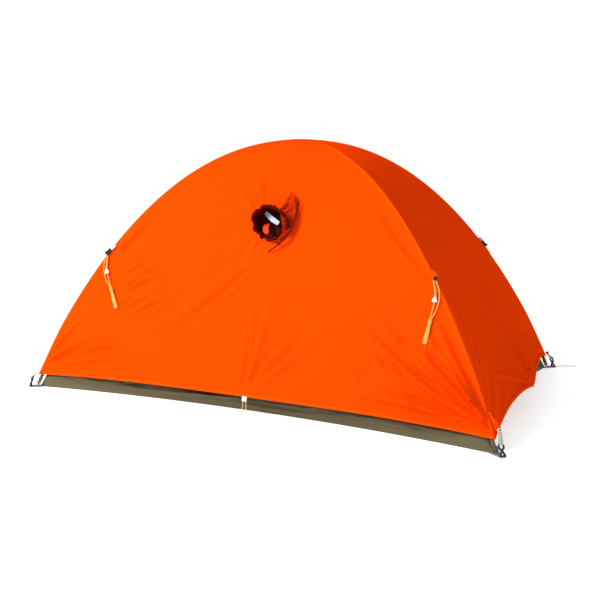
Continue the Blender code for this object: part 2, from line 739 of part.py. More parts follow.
def build_vent():
    centre = FLY.front_surface(0.0, VENT_Z)
    above = FLY.front_surface(0.0, VENT_Z + 0.03)
    below = FLY.front_surface(0.0, VENT_Z - 0.03)
    rise = (above - below).normalized()
    normal = Vector((1, 0, 0)).cross(rise)
    facing = frame_at(centre, Vector((1, 0, 0)), rise)

    hole = VENT_RADIUS - VENT_LIP
    bm = bmesh.new()
    bmesh.ops.create_cone(bm, cap_ends=True, segments=16, radius1=hole, radius2=hole, depth=0.04)
    cut(bpy.data.objects["fly_front_wall"],
        add_cutter("vent_hole", mesh_from(bm, "vent_hole"), facing))

    foot = centre + normal * DOOR_GAP
    bend = [(0.0, 0.0, 0.0), (0.0, 0.0, 0.018), (-0.002, -0.001, 0.032), (-0.006, -0.004, 0.045),
            (-0.012, -0.009, 0.056)]
    route = [foot + Vector((x, 0, 0)) + rise * y + normal * z for x, y, z in bend]
    outer = [VENT_RADIUS, VENT_RADIUS, VENT_RADIUS * 0.98, VENT_RADIUS * 0.96, VENT_RADIUS * 0.94]
    past = [route[0] - (route[1] - route[0]), *route[1:-1], route[-1] + (route[-1] - route[-2])]
    inner = [radius - VENT_WALL for radius in outer]
    hollow_tube("vent_sleeve", "vent_cloth", (route, outer), (past, inner), sides_level=4)

    mesh_radius = VENT_RADIUS - VENT_WALL - VENT_MESH_PLAY - CLOTH
    bm = bmesh.new()
    bmesh.ops.create_cone(bm, cap_ends=True, segments=16, radius1=mesh_radius, radius2=mesh_radius,
                          depth=CLOTH)
    add_part("vent_mesh", mesh_from(bm, "vent_mesh"), "mesh_cloth",
             frame_at(foot + normal * VENT_MESH_RISE, Vector((1, 0, 0)), rise))

    tail = [(0.126, 0.090, 0.006), (0.124, 0.050, 0.012), (0.122, 0.010, 0.018), (0.114, -0.030, 0.022),
            (0.098, -0.066, 0.022), (0.064, -0.098, 0.016), (0.024, -0.128, 0.008)]
    cord("vent_drawcord", "red_cord",
         [centre + Vector((x, 0, 0)) + rise * y + normal * z for x, y, z in tail], VENT_CORD_RADIUS)


# ---------------------------------------------------------------- zips

def zip_line(layer, beside):
    """The start and end of a slider's travel beside the doorway's edge on the +X side, and the wall's normal."""
    out, width_part = WALLS["rear"][1], WALLS["rear"][3]
    foot_z = layer.edge(layer.hem)[1]
    top_z = layer.edge(layer.door_share)[1]
    ends = []
    for share in (ZIP_START, 1 - ZIP_START):
        z = foot_z + (top_z - foot_z) * share
        ends.append(Vector((layer.door_half(z) + beside, 0, z)) + out * layer.middle(z, width_part))
    rise = ends[1] - ends[0]
    normal = (UP * rise.dot(out) * -1 + out * rise.z).normalized()
    return ends[0], ends[1], normal


def slider_block(name, place):
    bm = bmesh.new()
    bmesh.ops.create_cube(bm, size=1)
    bmesh.ops.scale(bm, vec=SLIDER_SIZE, verts=bm.verts)
    block = add_part(name, mesh_from(bm, name), "black_plastic", place)
    bevel = block.modifiers.new("edges", "BEVEL")
    bevel.width = 0.0008
    bevel.segments = 1


def build_zips():
    beside = SLIDER_SIZE.x / 2 + DOOR_GAP + 0.003
    for prefix, layer, face in (("fly", FLY, 1), ("inner", INNER, -1)):
        start, end, normal = zip_line(layer, beside)
        shell = CLOTH if face < 0 else 0.0
        lift = face * (SLIDER_SIZE.z / 2 + GAP + shell + 0.001)
        run = (end - start).normalized()
        centre = start + normal * lift
        slider_block(f"{prefix}_zip_slider", frame_at(centre, run.cross(normal), run))
        if face < 0:
            continue
        lift = SLIDER_SIZE.z / 2 + GAP + 0.0008
        place = frame_at(centre + normal * lift, run.cross(normal), run)
        plate(f"{prefix}_zip_pull", "black_plastic",
              rounded_box(-PULL_WIDTH / 2, PULL_WIDTH / 2, -PULL_LENGTH, 0, 0.0025, 3), 0.0015, place)


# ---------------------------------------------------------------- the tent

def build_tent():
    build_walls("fly", "fly_cloth", FLY)
    build_walls("inner", "inner_cloth", INNER)
    build_tub()
    build_pole(0, "a")
    build_pole(1, "b")
    for name, signs in CORNERS.items():
        build_corner(name, signs)
        build_guy(name, signs)
    build_hem_loop()
    build_vent()
    build_zips()


clear_scene()
PARTS = new_collection("dome_tent")
CUTTERS = new_collection("cutters")
build_tent()
bpy.context.view_layer.update()
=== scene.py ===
"""The looks of the dome tent: its cloth, seams, cords, vent and fittings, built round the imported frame.

Metres, +Z up, in the frame of the CAD model: the origin is the middle of the floor, +X runs along the long
side, and -Y is the front. The sizes under "sizes shared with the CAD source" repeat that source's values.
"""

import math
import random

import bmesh
import bpy
import numpy as np
from mathutils import Matrix, Vector, noise


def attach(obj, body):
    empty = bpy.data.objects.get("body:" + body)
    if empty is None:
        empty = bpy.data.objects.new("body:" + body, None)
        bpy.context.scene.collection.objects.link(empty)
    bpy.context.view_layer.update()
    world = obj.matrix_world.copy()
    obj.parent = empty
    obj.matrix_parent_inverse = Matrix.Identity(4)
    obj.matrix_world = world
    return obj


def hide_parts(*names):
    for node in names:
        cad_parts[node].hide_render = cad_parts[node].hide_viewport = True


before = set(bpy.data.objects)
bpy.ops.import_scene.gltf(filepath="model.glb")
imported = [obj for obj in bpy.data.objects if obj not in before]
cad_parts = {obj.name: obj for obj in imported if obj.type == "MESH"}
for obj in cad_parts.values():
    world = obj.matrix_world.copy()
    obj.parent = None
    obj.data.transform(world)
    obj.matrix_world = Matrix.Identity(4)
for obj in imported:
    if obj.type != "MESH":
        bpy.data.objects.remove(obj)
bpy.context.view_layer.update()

# ---------------------------------------------------------------- sizes shared with the CAD source

LENGTH = 2.10
WIDTH = 1.234
HEIGHT = 1.086
ARCH_SHOULDER = 2.158
ARCH_FOOT = 0.954
GAP = 0.0003
AIR = 0.0055
TUBE_RADIUS = 0.00425
SLEEVE_RADIUS = 0.0065
CROSSING_GAP = 0.0020
SLEEVE_FOOT = 0.085
SLEEVE_TOP = 0.060
DOOR_SHARE_OF_ROWS = 6 / 14
TOP_SHARE = 0.006
FLY_HEM = 0.086
FLY_FLARE = 0.008
FLY_FLARE_FROM = 0.90
SIDE_PULL = 0.036
SIDE_RISE = 0.030
CORNER_DROP = 0.030
HEM_SHAPE_FROM = 0.87
SIDE_PULL_FROM = 0.80
TUB_HEIGHT = 0.130
FLOOR_BOW = 0.070
DOOR_GAP = 0.0010
VENT_Z = 0.765
VENT_RADIUS = 0.050
TAB_HALF_WIDTH = 0.0125
TAB_THICKNESS = 0.0020
TAB_REACH = 0.040
HOOK_HEIGHT = 0.048
HOOK_THICKNESS = 0.0045
HOOK_OUT = 0.030
HOOK_LEAN = 0.28
PEG_LOOP_RADIUS = 0.0015
GUY_SHARE = 0.705
GUY_LOOP = 0.158
GUY_HANK = 0.088
GUY_STAND_OFF = 0.0075
GUY_LEAN = {"front_left": 0.086, "front_right": 0.010, "rear_left": 0.0, "rear_right": 0.0}
HEM_LOOP_RADIUS = 0.0014

HALF_DIAGONAL = math.hypot(LENGTH, WIDTH) / 2
DIAGONAL = Vector((LENGTH, WIDTH, 0)).normalized()
UP = Vector((0, 0, 1))
POLE_INSET = (SLEEVE_RADIUS + AIR) / DIAGONAL.y
POLE_STEP = 2 * TUBE_RADIUS + CROSSING_GAP
INNER_INSET = 2 * POLE_INSET

# Each wall: the direction along it, so that along x up points out, and which diagonal part is which.
WALLS = {
    "front": (Vector((1, 0, 0)), Vector((0, -1, 0)), DIAGONAL.x, DIAGONAL.y),
    "right": (Vector((0, 1, 0)), Vector((1, 0, 0)), DIAGONAL.y, DIAGONAL.x),
    "rear": (Vector((-1, 0, 0)), Vector((0, 1, 0)), DIAGONAL.x, DIAGONAL.y),
    "left": (Vector((0, -1, 0)), Vector((-1, 0, 0)), DIAGONAL.y, DIAGONAL.x),
}
CORNERS = {"front_left": (-1, -1), "front_right": (1, -1), "rear_right": (1, 1), "rear_left": (-1, 1)}

# ---------------------------------------------------------------- sizes of the looks

SEAM = 0.0004  # the walls meet this near to the seam line
CLOTH = 0.0006
SEAM_WIDTH = 0.007  # each side of a seam
HEM_BAND = 0.014
TUB_REACH = 0.012  # the floor's corners are drawn out this much further than the inner tent's edges
GUY_LINE = 0.0046  # thicker than the source's strands, as it shows
VENT_CORD_RADIUS = 0.0030
TENSIONER_SIZE = 0.0155
HANK_TURNS = 4
KNOT_SIDE = -0.0085  # the guy line's knot hangs this far towards the corner from its straight line
TENSIONER_SPOT = (-0.0145, 0.074, 0.0052)  # across, down and out from the guy line's start
FOLD_WIDTH = 1.5  # the folds' listed widths and depths are scaled by these
FOLD_DEPTH = 3.2
GUY_REGION = (0.69, 0.45, 0.055, 0.15)  # where the folds are calmed: middle along and up, half sizes
VENT_MOUTH = (0.018, -0.006)  # the shown vent's middle, right of and below the CAD source's


# ---------------------------------------------------------------- materials

class Paint:
    """A Principled material, and short calls for the nodes that give it its detail."""

    def __init__(self, name, colour, roughness, **sockets):
        self.material = bpy.data.materials.new(name)
        self.material.use_nodes = True
        self.tree = self.material.node_tree
        self.shader = self.tree.nodes["Principled BSDF"]
        self.colour = (*colour, 1.0)
        self.shader.inputs["Base Color"].default_value = self.colour
        self.shader.inputs["Roughness"].default_value = roughness
        for socket, value in sockets.items():
            self.shader.inputs[socket.replace("_", " ")].default_value = value
        self.normal = None

    def node(self, kind, **settings):
        node = self.tree.nodes.new("ShaderNode" + kind)
        for key, value in settings.items():
            setattr(node, key, value)
        return node

    def link(self, source, target):
        self.tree.links.new(source, target)

    def place(self, on):
        """Where a pattern lies: "cloth" is metres over the cloth, "space" is metres in the tent's frame."""
        if on == "cloth":
            return self.node("UVMap", uv_map="cloth").outputs["UV"]
        return self.node("TexCoord").outputs["Object"]

    def scaled(self, on, scale):
        mapping = self.node("Mapping")
        mapping.inputs["Scale"].default_value = scale
        self.link(self.place(on), mapping.inputs["Vector"])
        return mapping.outputs["Vector"]

    def noise(self, on, scale, detail=4.0, stretch=(1, 1, 1)):
        """Soft noise, 0 to 1, with scale spots a metre."""
        noise_node = self.node("TexNoise")
        noise_node.inputs["Scale"].default_value = 1.0
        noise_node.inputs["Detail"].default_value = detail
        self.link(self.scaled(on, tuple(scale * part for part in stretch)), noise_node.inputs["Vector"])
        return noise_node.outputs["Fac"]

    def math(self, operation, first, second=None, third=None):
        node = self.node("Math", operation=operation)
        for socket, value in zip(node.inputs, (first, second, third)):
            if isinstance(value, (int, float)):
                socket.default_value = value
            elif value is not None:
                self.link(value, socket)
        return node.outputs[0]

    def stripes(self, on, axis, period, sharp=1.0):
        """Stripes across an axis, 0 to 1, one each period. A higher sharp makes them thinner."""
        split = self.node("SeparateXYZ")
        self.link(self.place(on), split.inputs[0])
        wave = self.math("SINE", self.math("MULTIPLY", split.outputs[axis], 2 * math.pi / period))
        level = self.math("MULTIPLY_ADD", wave, 0.5, 0.5)
        return self.math("POWER", level, sharp) if sharp != 1.0 else level

    def weave(self, on, period):
        """Over and under of a plain weave."""
        across = self.stripes(on, 0, period)
        along = self.stripes(on, 1, period)
        return self.math("ABSOLUTE", self.math("SUBTRACT", across, along))

    def tint(self, level, other, amount):
        """Mixes the base colour towards another where level is high."""
        mix = self.node("Mix", data_type="RGBA")
        self.link(self.math("MULTIPLY", level, amount), mix.inputs["Factor"])
        base = self.shader.inputs["Base Color"]
        if base.is_linked:
            self.link(base.links[0].from_socket, mix.inputs[6])
        else:
            mix.inputs[6].default_value = self.colour
        mix.inputs[7].default_value = (*other, 1.0)
        self.link(mix.outputs[2], base)

    def vary_roughness(self, level, low, high):
        self.link(self.math("MULTIPLY_ADD", level, high - low, low), self.shader.inputs["Roughness"])

    def bump(self, level, depth):
        """Relief of the given depth in metres."""
        bump = self.node("Bump")
        bump.inputs["Distance"].default_value = depth
        self.link(level, bump.inputs["Height"])
        if self.normal is not None:
            self.link(self.normal, bump.inputs["Normal"])
        self.normal = bump.outputs["Normal"]
        self.link(self.normal, self.shader.inputs["Normal"])


def ripstop(name, colour, dark, light, roughness, period=0.0055, on="cloth", crumple=0.0006, gloss=0.2):
    """Coated ripstop nylon: a fine weave, a raised grid of heavier threads, and shallow creases."""
    paint = Paint(name, colour, roughness, Specular_IOR_Level=gloss)
    warp = paint.stripes(on, 0, period, 12.0)
    weft = paint.stripes(on, 1, period, 12.0)
    grid = paint.math("MAXIMUM", warp, weft)
    cloudy = paint.noise(on, 5.0, 5.0)
    crease = paint.noise(on, 38.0, 3.0, (1.0, 0.6, 1.0))
    paint.tint(cloudy, dark, 0.16)
    paint.tint(grid, light, 0.22)
    paint.tint(paint.noise("space", 90.0, 2.0), dark, 0.05)
    paint.vary_roughness(cloudy, roughness - 0.06, roughness + 0.08)
    paint.bump(crease, crumple)
    paint.bump(grid, 0.00006)
    paint.bump(paint.weave(on, 0.0008), 0.00002)
    return paint.material


def coated(name):
    """The floor's coated cloth: streaky along the wall, and darker and greener near its upper edge, where the
    fly hem's shade is painted on.
    """
    paint = Paint(name, OLIVE, 0.55, Specular_IOR_Level=0.10)
    split = paint.node("SeparateXYZ")
    paint.link(paint.place("space"), split.inputs[0])
    streaks = paint.noise("space", 5.0, 4.0, (1.0, 1.0, 15.0))
    # Painted shade: the wall's top is tinted near-black where the fly's hem shades it, with a streaky lower
    # edge.
    edge = paint.math("MULTIPLY_ADD", streaks, 0.050, split.outputs[2])
    painted_hem_shade = paint.math("MULTIPLY", paint.math("GREATER_THAN", edge, 0.075), 0.9)
    paint.tint(paint.math("MULTIPLY", streaks, streaks), (0.050, 0.042, 0.024), 0.75)
    paint.tint(paint.noise("cloth", 9.0, 4.0), (0.150, 0.125, 0.075), 0.30)
    # The painted shade of the fly's hem over the wall's top.
    paint.tint(painted_hem_shade, (0.014, 0.018, 0.009), 0.8)
    paint.vary_roughness(streaks, 0.48, 0.66)
    paint.bump(streaks, 0.0030)
    paint.bump(paint.noise("cloth", 60.0, 3.0), 0.0010)
    paint.bump(paint.weave("cloth", 0.0008), 0.00002)
    return paint.material


def sewn(name, colour, thread, roughness, rows=(-0.0042, 0.0042), pitch=0.0032, gloss=0.2):
    """Folded cloth with rows of stitches. Its cloth map runs across in X, from its middle, and along in Y."""
    paint = Paint(name, colour, roughness, Specular_IOR_Level=gloss)
    split = paint.node("SeparateXYZ")
    paint.link(paint.place("cloth"), split.inputs[0])
    wave = paint.math("SINE", paint.math("MULTIPLY", split.outputs[1], 2 * math.pi / pitch))
    dash = paint.math("GREATER_THAN", wave, -0.55)
    stitches = None
    for row in rows:
        away = paint.math("ABSOLUTE", paint.math("SUBTRACT", split.outputs[0], row))
        line = paint.math("MULTIPLY", paint.math("LESS_THAN", away, 0.00045), dash)
        stitches = line if stitches is None else paint.math("MAXIMUM", stitches, line)
    paint.tint(paint.noise("space", 60.0, 3.0), thread, 0.10)
    paint.tint(stitches, thread, 0.8)
    paint.bump(paint.noise("space", 160.0, 3.0, (1, 1, 1)), 0.0004)
    paint.bump(stitches, 0.0003)
    return paint.material


def webbing_paint(name, colour, dark, period=0.0016, roughness=0.8):
    """Woven tape: ribs across, a twill in them, and a darker tone between them."""
    paint = Paint(name, colour, roughness, Sheen_Weight=0.2, Specular_IOR_Level=0.3)
    ribs = paint.stripes("cloth", 1, period)
    threads = paint.stripes("cloth", 0, period * 0.8)
    woven = paint.math("MULTIPLY", ribs, threads)
    paint.tint(paint.math("SUBTRACT", 1.0, woven), dark, 0.45)
    paint.tint(paint.noise("space", 45.0, 3.0), dark, 0.20)
    paint.bump(woven, 0.00025)
    return paint.material


def braid(name, colour, dark, fleck=None, period=0.0022):
    """A braided cord. Its cloth map runs round it in X, from 0 to 1, and along it in Y, in metres."""
    paint = Paint(name, colour, 0.70, Specular_IOR_Level=0.10)
    split = paint.node("SeparateXYZ")
    paint.link(paint.place("cloth"), split.inputs[0])
    turn = paint.math("MULTIPLY", split.outputs[0], 2 * math.pi * 3)
    along = paint.math("MULTIPLY", split.outputs[1], 2 * math.pi / period)
    left = paint.math("SINE", paint.math("ADD", turn, along))
    right = paint.math("SINE", paint.math("SUBTRACT", turn, along))
    strands = paint.math("MULTIPLY_ADD", paint.math("MAXIMUM", left, right), 0.5, 0.5)
    paint.tint(paint.math("SUBTRACT", 1.0, strands), dark, 0.55)
    if fleck is not None:
        paint.tint(paint.math("GREATER_THAN", left, 0.93), fleck, 0.8)
    paint.tint(paint.noise("space", 70.0, 2.0), dark, 0.15)
    paint.bump(strands, 0.0003)
    return paint.material


def moulded(name, colour, roughness, worn):
    """Moulded plastic with a fine grain and slightly worn tone."""
    paint = Paint(name, colour, roughness, Specular_IOR_Level=0.5)
    paint.tint(paint.noise("space", 120.0, 4.0), worn, 0.25)
    paint.vary_roughness(paint.noise("space", 220.0, 3.0), roughness - 0.08, roughness + 0.12)
    paint.bump(paint.noise("space", 1500.0, 2.0), 0.00004)
    return paint.material


def metal(name, colour, roughness, worn):
    """Anodised or plated metal with fine marks along it."""
    paint = Paint(name, colour, roughness, Metallic=1.0)
    paint.tint(paint.noise("space", 80.0, 4.0), worn, 0.30)
    marks = paint.noise("space", 400.0, 2.0, (1, 1, 0.2))
    paint.vary_roughness(marks, roughness - 0.07, roughness + 0.14)
    paint.bump(marks, 0.00003)
    return paint.material


def netting(name, colour, dark):
    """Fine insect netting: a close grid of threads, dark in its holes."""
    paint = Paint(name, colour, 0.75, Sheen_Weight=0.1)
    holes = paint.math("MULTIPLY", paint.stripes("cloth", 0, 0.0014), paint.stripes("cloth", 1, 0.0014))
    paint.tint(holes, dark, 0.75)
    paint.tint(paint.noise("space", 30.0, 3.0), dark, 0.15)
    paint.bump(paint.math("SUBTRACT", 1.0, holes), 0.0002)
    return paint.material


ORANGE = (0.92, 0.052, 0.0005)
ORANGE_DARK = (0.78, 0.034, 0.0003)
ORANGE_LIGHT = (0.98, 0.078, 0.001)
OLIVE = (0.120, 0.098, 0.050)

PAINTS = {
    "fly": ripstop("fly_ripstop", ORANGE, ORANGE_DARK, ORANGE_LIGHT, 0.52, gloss=0.0),
    "fly_sewn": sewn("fly_sewn", (0.96, 0.070, 0.001), ORANGE_DARK, 0.55, gloss=0.0),
    "tub": coated("tub_coated"),
    "tub_sewn": sewn("tub_sewn", (0.105, 0.085, 0.045), (0.040, 0.032, 0.020), 0.5),
    "inner": ripstop("inner_breathable", (0.62, 0.60, 0.52), (0.45, 0.43, 0.36), (0.75, 0.73, 0.66), 0.70),
    "inner_sewn": sewn("inner_sewn", (0.50, 0.48, 0.42), (0.30, 0.28, 0.24), 0.7),
    "netting": netting("insect_netting", (0.34, 0.34, 0.33), (0.06, 0.06, 0.06)),
    # The vent's sleeve: the fly's orange painted near-black red, as painted shade.
    "vent": ripstop("vent_cloth", (0.092, 0.0045, 0.001), (0.010, 0.001, 0.001), (0.22, 0.012, 0.002), 0.60,
                    crumple=0.0035, gloss=0.02),
    # The vent's loose cloth: the fly's orange painted at about half its brightness, as painted part shade.
    "ear": ripstop("vent_ear_cloth_part_shade", (0.50, 0.024, 0.001), (0.08, 0.003, 0.001), (0.78, 0.052, 0.003), 0.60,
                   crumple=0.0045, gloss=0.0),
    # A near-black sheet across the vent's mouth: painted shade of its inside.
    "mouth_shade": ripstop("vent_mouth_painted_shade", (0.040, 0.004, 0.003), (0.008, 0.002, 0.002),
                      (0.08, 0.01, 0.006), 0.70, crumple=0.0020, gloss=0.05),
    # The fold in the vent's mouth: the fly's orange painted darker, as painted shade.
    "tongue": ripstop("vent_tongue_cloth_part_shade", (0.62, 0.045, 0.004), (0.22, 0.010, 0.001),
                      (0.80, 0.08, 0.01), 0.55, crumple=0.0018, gloss=0.05),
    "pale": ripstop("vent_pale_cloth", (0.42, 0.50, 0.56), (0.25, 0.31, 0.36), (0.60, 0.66, 0.70), 0.60),
    "sleeve": ripstop("pole_sleeve_cloth", (0.16, 0.16, 0.16), (0.09, 0.09, 0.09), (0.24, 0.24, 0.24), 0.60),
    "black_tape": webbing_paint("black_webbing", (0.004, 0.004, 0.0045), (0.0015, 0.0015, 0.0015)),
    "grey_tape": webbing_paint("grey_webbing", (0.40, 0.40, 0.46), (0.16, 0.16, 0.20)),
    "white_tape": webbing_paint("white_tape", (0.86, 0.85, 0.80), (0.60, 0.58, 0.52)),
    "elastic": webbing_paint("grey_green_elastic", (0.52, 0.56, 0.50), (0.26, 0.30, 0.26), 0.0012),
    "guy_cord": braid("guy_cord", (0.76, 0.41, 0.075), (0.42, 0.17, 0.02), (0.92, 0.80, 0.46)),
    "pale_cord": braid("pale_cord", (0.86, 0.84, 0.74), (0.66, 0.63, 0.52)),
    "peg_cord": braid("peg_cord", (0.80, 0.62, 0.28), (0.50, 0.34, 0.12)),
    "red_cord": braid("red_cord", (0.150, 0.004, 0.001), (0.05, 0.002, 0.001)),
    "black": moulded("black_plastic", (0.006, 0.006, 0.0065), 0.50, (0.016, 0.016, 0.017)),
    "white": moulded("white_plastic", (0.88, 0.87, 0.84), 0.34, (0.70, 0.68, 0.62)),
    "cap": moulded("dark_green_plastic", (0.010, 0.028, 0.020), 0.40, (0.03, 0.06, 0.045)),
    "rubber": moulded("rubber", (0.020, 0.020, 0.020), 0.60, (0.05, 0.05, 0.05)),
    "aluminium": metal("anodised_aluminium", (0.62, 0.63, 0.66), 0.28, (0.40, 0.41, 0.44)),
    "eyelet": metal("plated_eyelet", (0.80, 0.81, 0.82), 0.22, (0.50, 0.51, 0.52)),
    "zip": webbing_paint("zip_tape", (0.030, 0.026, 0.022), (0.010, 0.009, 0.008), 0.0010),
    "teeth": moulded("zip_teeth", (0.030, 0.027, 0.024), 0.35, (0.07, 0.06, 0.055)),
}


# ---------------------------------------------------------------- meshes

def new_piece(name, mesh, paint, body, replaces=()):
    """A shown piece that rides on a body, with its paint and the CAD nodes it replaces."""
    obj = bpy.data.objects.new(name, mesh)
    bpy.context.scene.collection.objects.link(obj)
    mesh.materials.append(PAINTS[paint])
    mesh.shade_smooth()
    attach(obj, body)
    if replaces:
        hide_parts(*replaces)
    return obj


def grid_mesh(name, points, cloth_map, keep=None, ring=False):
    """A mesh over rows of points, with the cloth map that its pattern follows."""
    rows, columns = points.shape[:2]
    index = np.arange(rows * columns).reshape(rows, columns)
    right = np.roll(index, -1, axis=1) if ring else index[:, 1:]
    left = index if ring else index[:, :-1]
    quads = np.stack([left[:-1], right[:-1], right[1:], left[1:]], -1).reshape(-1, 4)
    if keep is not None:
        quads = quads[keep.reshape(-1)]
    used, quads = np.unique(quads, return_inverse=True)
    quads = quads.reshape(-1, 4)
    mesh = bpy.data.meshes.new(name)
    mesh.from_pydata(points.reshape(-1, 3)[used].tolist(), [], quads.tolist())
    layer = mesh.uv_layers.new(name="cloth")
    flat = cloth_map.reshape(-1, 2)[used][quads.reshape(-1)]
    layer.data.foreach_set("uv", flat.astype(np.float32).ravel())
    return mesh


def thicken(obj, thickness=CLOTH, offset=-1.0):
    solid = obj.modifiers.new("thickness", "SOLIDIFY")
    solid.thickness = thickness
    solid.offset = offset
    return obj


def normals_of(points, ring=False):
    """Unit normals of a grid of points, on the side where its columns x its rows points."""
    if ring:
        across = np.roll(points, -1, axis=1) - np.roll(points, 1, axis=1)
    else:
        across = np.gradient(points, axis=1)
    up = np.gradient(points, axis=0)
    normal = np.cross(across, up)
    return normal / np.maximum(np.linalg.norm(normal, axis=2, keepdims=True), 1e-9)


def smooth_route(route, spacing):
    """Evenly spaced points on a smooth curve through the route's points."""
    route = [Vector(point) for point in route]
    ends = [route[0] * 2 - route[1], *route, route[-1] * 2 - route[-2]]
    fine = []
    for p0, p1, p2, p3 in zip(ends, ends[1:], ends[2:], ends[3:]):
        for step in range(12):
            t = step / 12
            fine.append(
                0.5 * (2 * p1 + (p2 - p0) * t + (2 * p0 - 5 * p1 + 4 * p2 - p3) * t * t
                       + (3 * p1 - p0 - 3 * p2 + p3) * t ** 3)
            )
    fine.append(route[-1])
    line = np.array(fine)
    lengths = np.concatenate([[0], np.cumsum(np.linalg.norm(np.diff(line, axis=0), axis=1))])
    count = max(4, round(lengths[-1] / spacing))
    wanted = np.linspace(0, lengths[-1], count + 1)
    return np.stack([np.interp(wanted, lengths, line[:, i]) for i in range(3)], axis=1)


def line_frames(line, first_side):
    """Two unit directions square to a line at each of its points, turning as little as possible."""
    ahead = np.gradient(line, axis=0)
    ahead /= np.linalg.norm(ahead, axis=1, keepdims=True)
    side = np.array(first_side, float)
    sides = []
    for direction in ahead:
        side = side - direction * (side @ direction)
        side /= np.linalg.norm(side)
        sides.append(side)
    sides = np.array(sides)
    return sides, np.cross(ahead, sides)


def any_side(direction):
    """Some direction square to the given one."""
    direction = Vector(direction).normalized()
    other = UP if abs(direction.z) < 0.9 else Vector((1, 0, 0))
    return direction.cross(other).normalized()


def tube_mesh(name, line, radii, sides=12, shape=None, first_side=None):
    """A closed tube along a line, with its ends rounded. shape(turn, length) may change its radius."""
    line = np.array(line, float)
    radii = np.broadcast_to(np.asarray(radii, float), (len(line),))
    lengths = np.concatenate([[0], np.cumsum(np.linalg.norm(np.diff(line, axis=0), axis=1))])
    side, other = line_frames(line, first_side or any_side(line[1] - line[0]))
    turn = np.linspace(0, 2 * np.pi, sides, endpoint=False)
    size = np.repeat(radii[:, None], sides, axis=1)
    if shape is not None:
        size = size * shape(turn[None, :], lengths[:, None])
    ring = (side[:, None] * np.cos(turn)[None, :, None] + other[:, None] * np.sin(turn)[None, :, None])
    points = line[:, None] + ring * size[..., None]
    ahead = [line[0] - line[1], line[-1] - line[-2]]
    for end, direction in ((0, ahead[0]), (-1, ahead[1])):
        direction = direction / np.linalg.norm(direction)
        centre, circle = points[end].mean(axis=0), points[end]
        caps = [centre + (circle - centre) * math.cos(a) + direction * radii[end] * math.sin(a)
                for a in (0.5, 1.0, 1.4)]
        if end == 0:
            points = np.concatenate([np.array(caps[::-1]), points])
        else:
            points = np.concatenate([points, np.array(caps)])
    rows = len(points)
    lengths = np.concatenate([[0] * 3, lengths, [lengths[-1]] * 3])
    cloth_map = np.stack([np.tile(turn / (2 * np.pi), (rows, 1)), np.tile(lengths[:, None], (1, sides))], -1)
    mesh = grid_mesh(name, points, cloth_map, ring=True)
    bm = bmesh.new()
    bm.from_mesh(mesh)
    bmesh.ops.holes_fill(bm, edges=[e for e in bm.edges if e.is_boundary], sides=sides)
    bmesh.ops.recalc_face_normals(bm, faces=bm.faces)
    bm.to_mesh(mesh)
    bm.free()
    return mesh


def band_mesh(name, line, across, width, thickness, crown=0.0):
    """A flat tape along a line. across gives its width's direction at each point, or one for all."""
    line = np.array(line, float)
    across = np.broadcast_to(np.array(across, float), line.shape)
    ahead = np.gradient(line, axis=0)
    ahead /= np.linalg.norm(ahead, axis=1, keepdims=True)
    across = across - ahead * np.sum(across * ahead, axis=1, keepdims=True)
    across = across / np.linalg.norm(across, axis=1, keepdims=True)
    face = np.cross(across, ahead)
    lengths = np.concatenate([[0], np.cumsum(np.linalg.norm(np.diff(line, axis=0), axis=1))])
    widths = np.broadcast_to(np.asarray(width, float), (len(line),))
    steps = [(-0.5, -0.5), (-0.47, -0.9), (0.0, -1.0), (0.47, -0.9), (0.5, -0.5),
             (0.5, 0.5), (0.47, 0.9), (0.0, 1.0), (-0.47, 0.9), (-0.5, 0.5)]
    points = np.stack([
        line + across * (s * widths[:, None]) + face * (thickness / 2 * h + crown * (1 - (2 * s) ** 2))
        for s, h in steps], axis=1)
    cloth_map = np.stack([np.array([[s * w for s, _ in steps] for w in widths]),
                          np.tile(lengths[:, None], (1, len(steps)))], -1)
    mesh = grid_mesh(name, points, cloth_map, ring=True)
    bm = bmesh.new()
    bm.from_mesh(mesh)
    bmesh.ops.holes_fill(bm, edges=[e for e in bm.edges if e.is_boundary], sides=len(steps))
    bmesh.ops.recalc_face_normals(bm, faces=bm.faces)
    bm.to_mesh(mesh)
    bm.free()
    return mesh


def joined(name, meshes):
    """One mesh of several, which keep their cloth maps."""
    bm = bmesh.new()
    for mesh in meshes:
        bm.from_mesh(mesh)
        bpy.data.meshes.remove(mesh)
    whole = bpy.data.meshes.new(name)
    bm.to_mesh(whole)
    bm.free()
    return whole


def fused(name, meshes, voxel, smooth=4):
    """One closed mesh of several that overlap, with softened joints."""
    mesh = joined(name, meshes)
    obj = bpy.data.objects.new(name, mesh)
    bpy.context.scene.collection.objects.link(obj)
    remesh = obj.modifiers.new("fuse", "REMESH")
    remesh.mode = "VOXEL"
    remesh.voxel_size = voxel
    soften = obj.modifiers.new("soften", "SMOOTH")
    soften.iterations = smooth
    graph = bpy.context.evaluated_depsgraph_get()
    made = bpy.data.meshes.new_from_object(obj.evaluated_get(graph))
    bpy.data.objects.remove(obj)
    bpy.data.meshes.remove(mesh)
    made.name = name
    return made


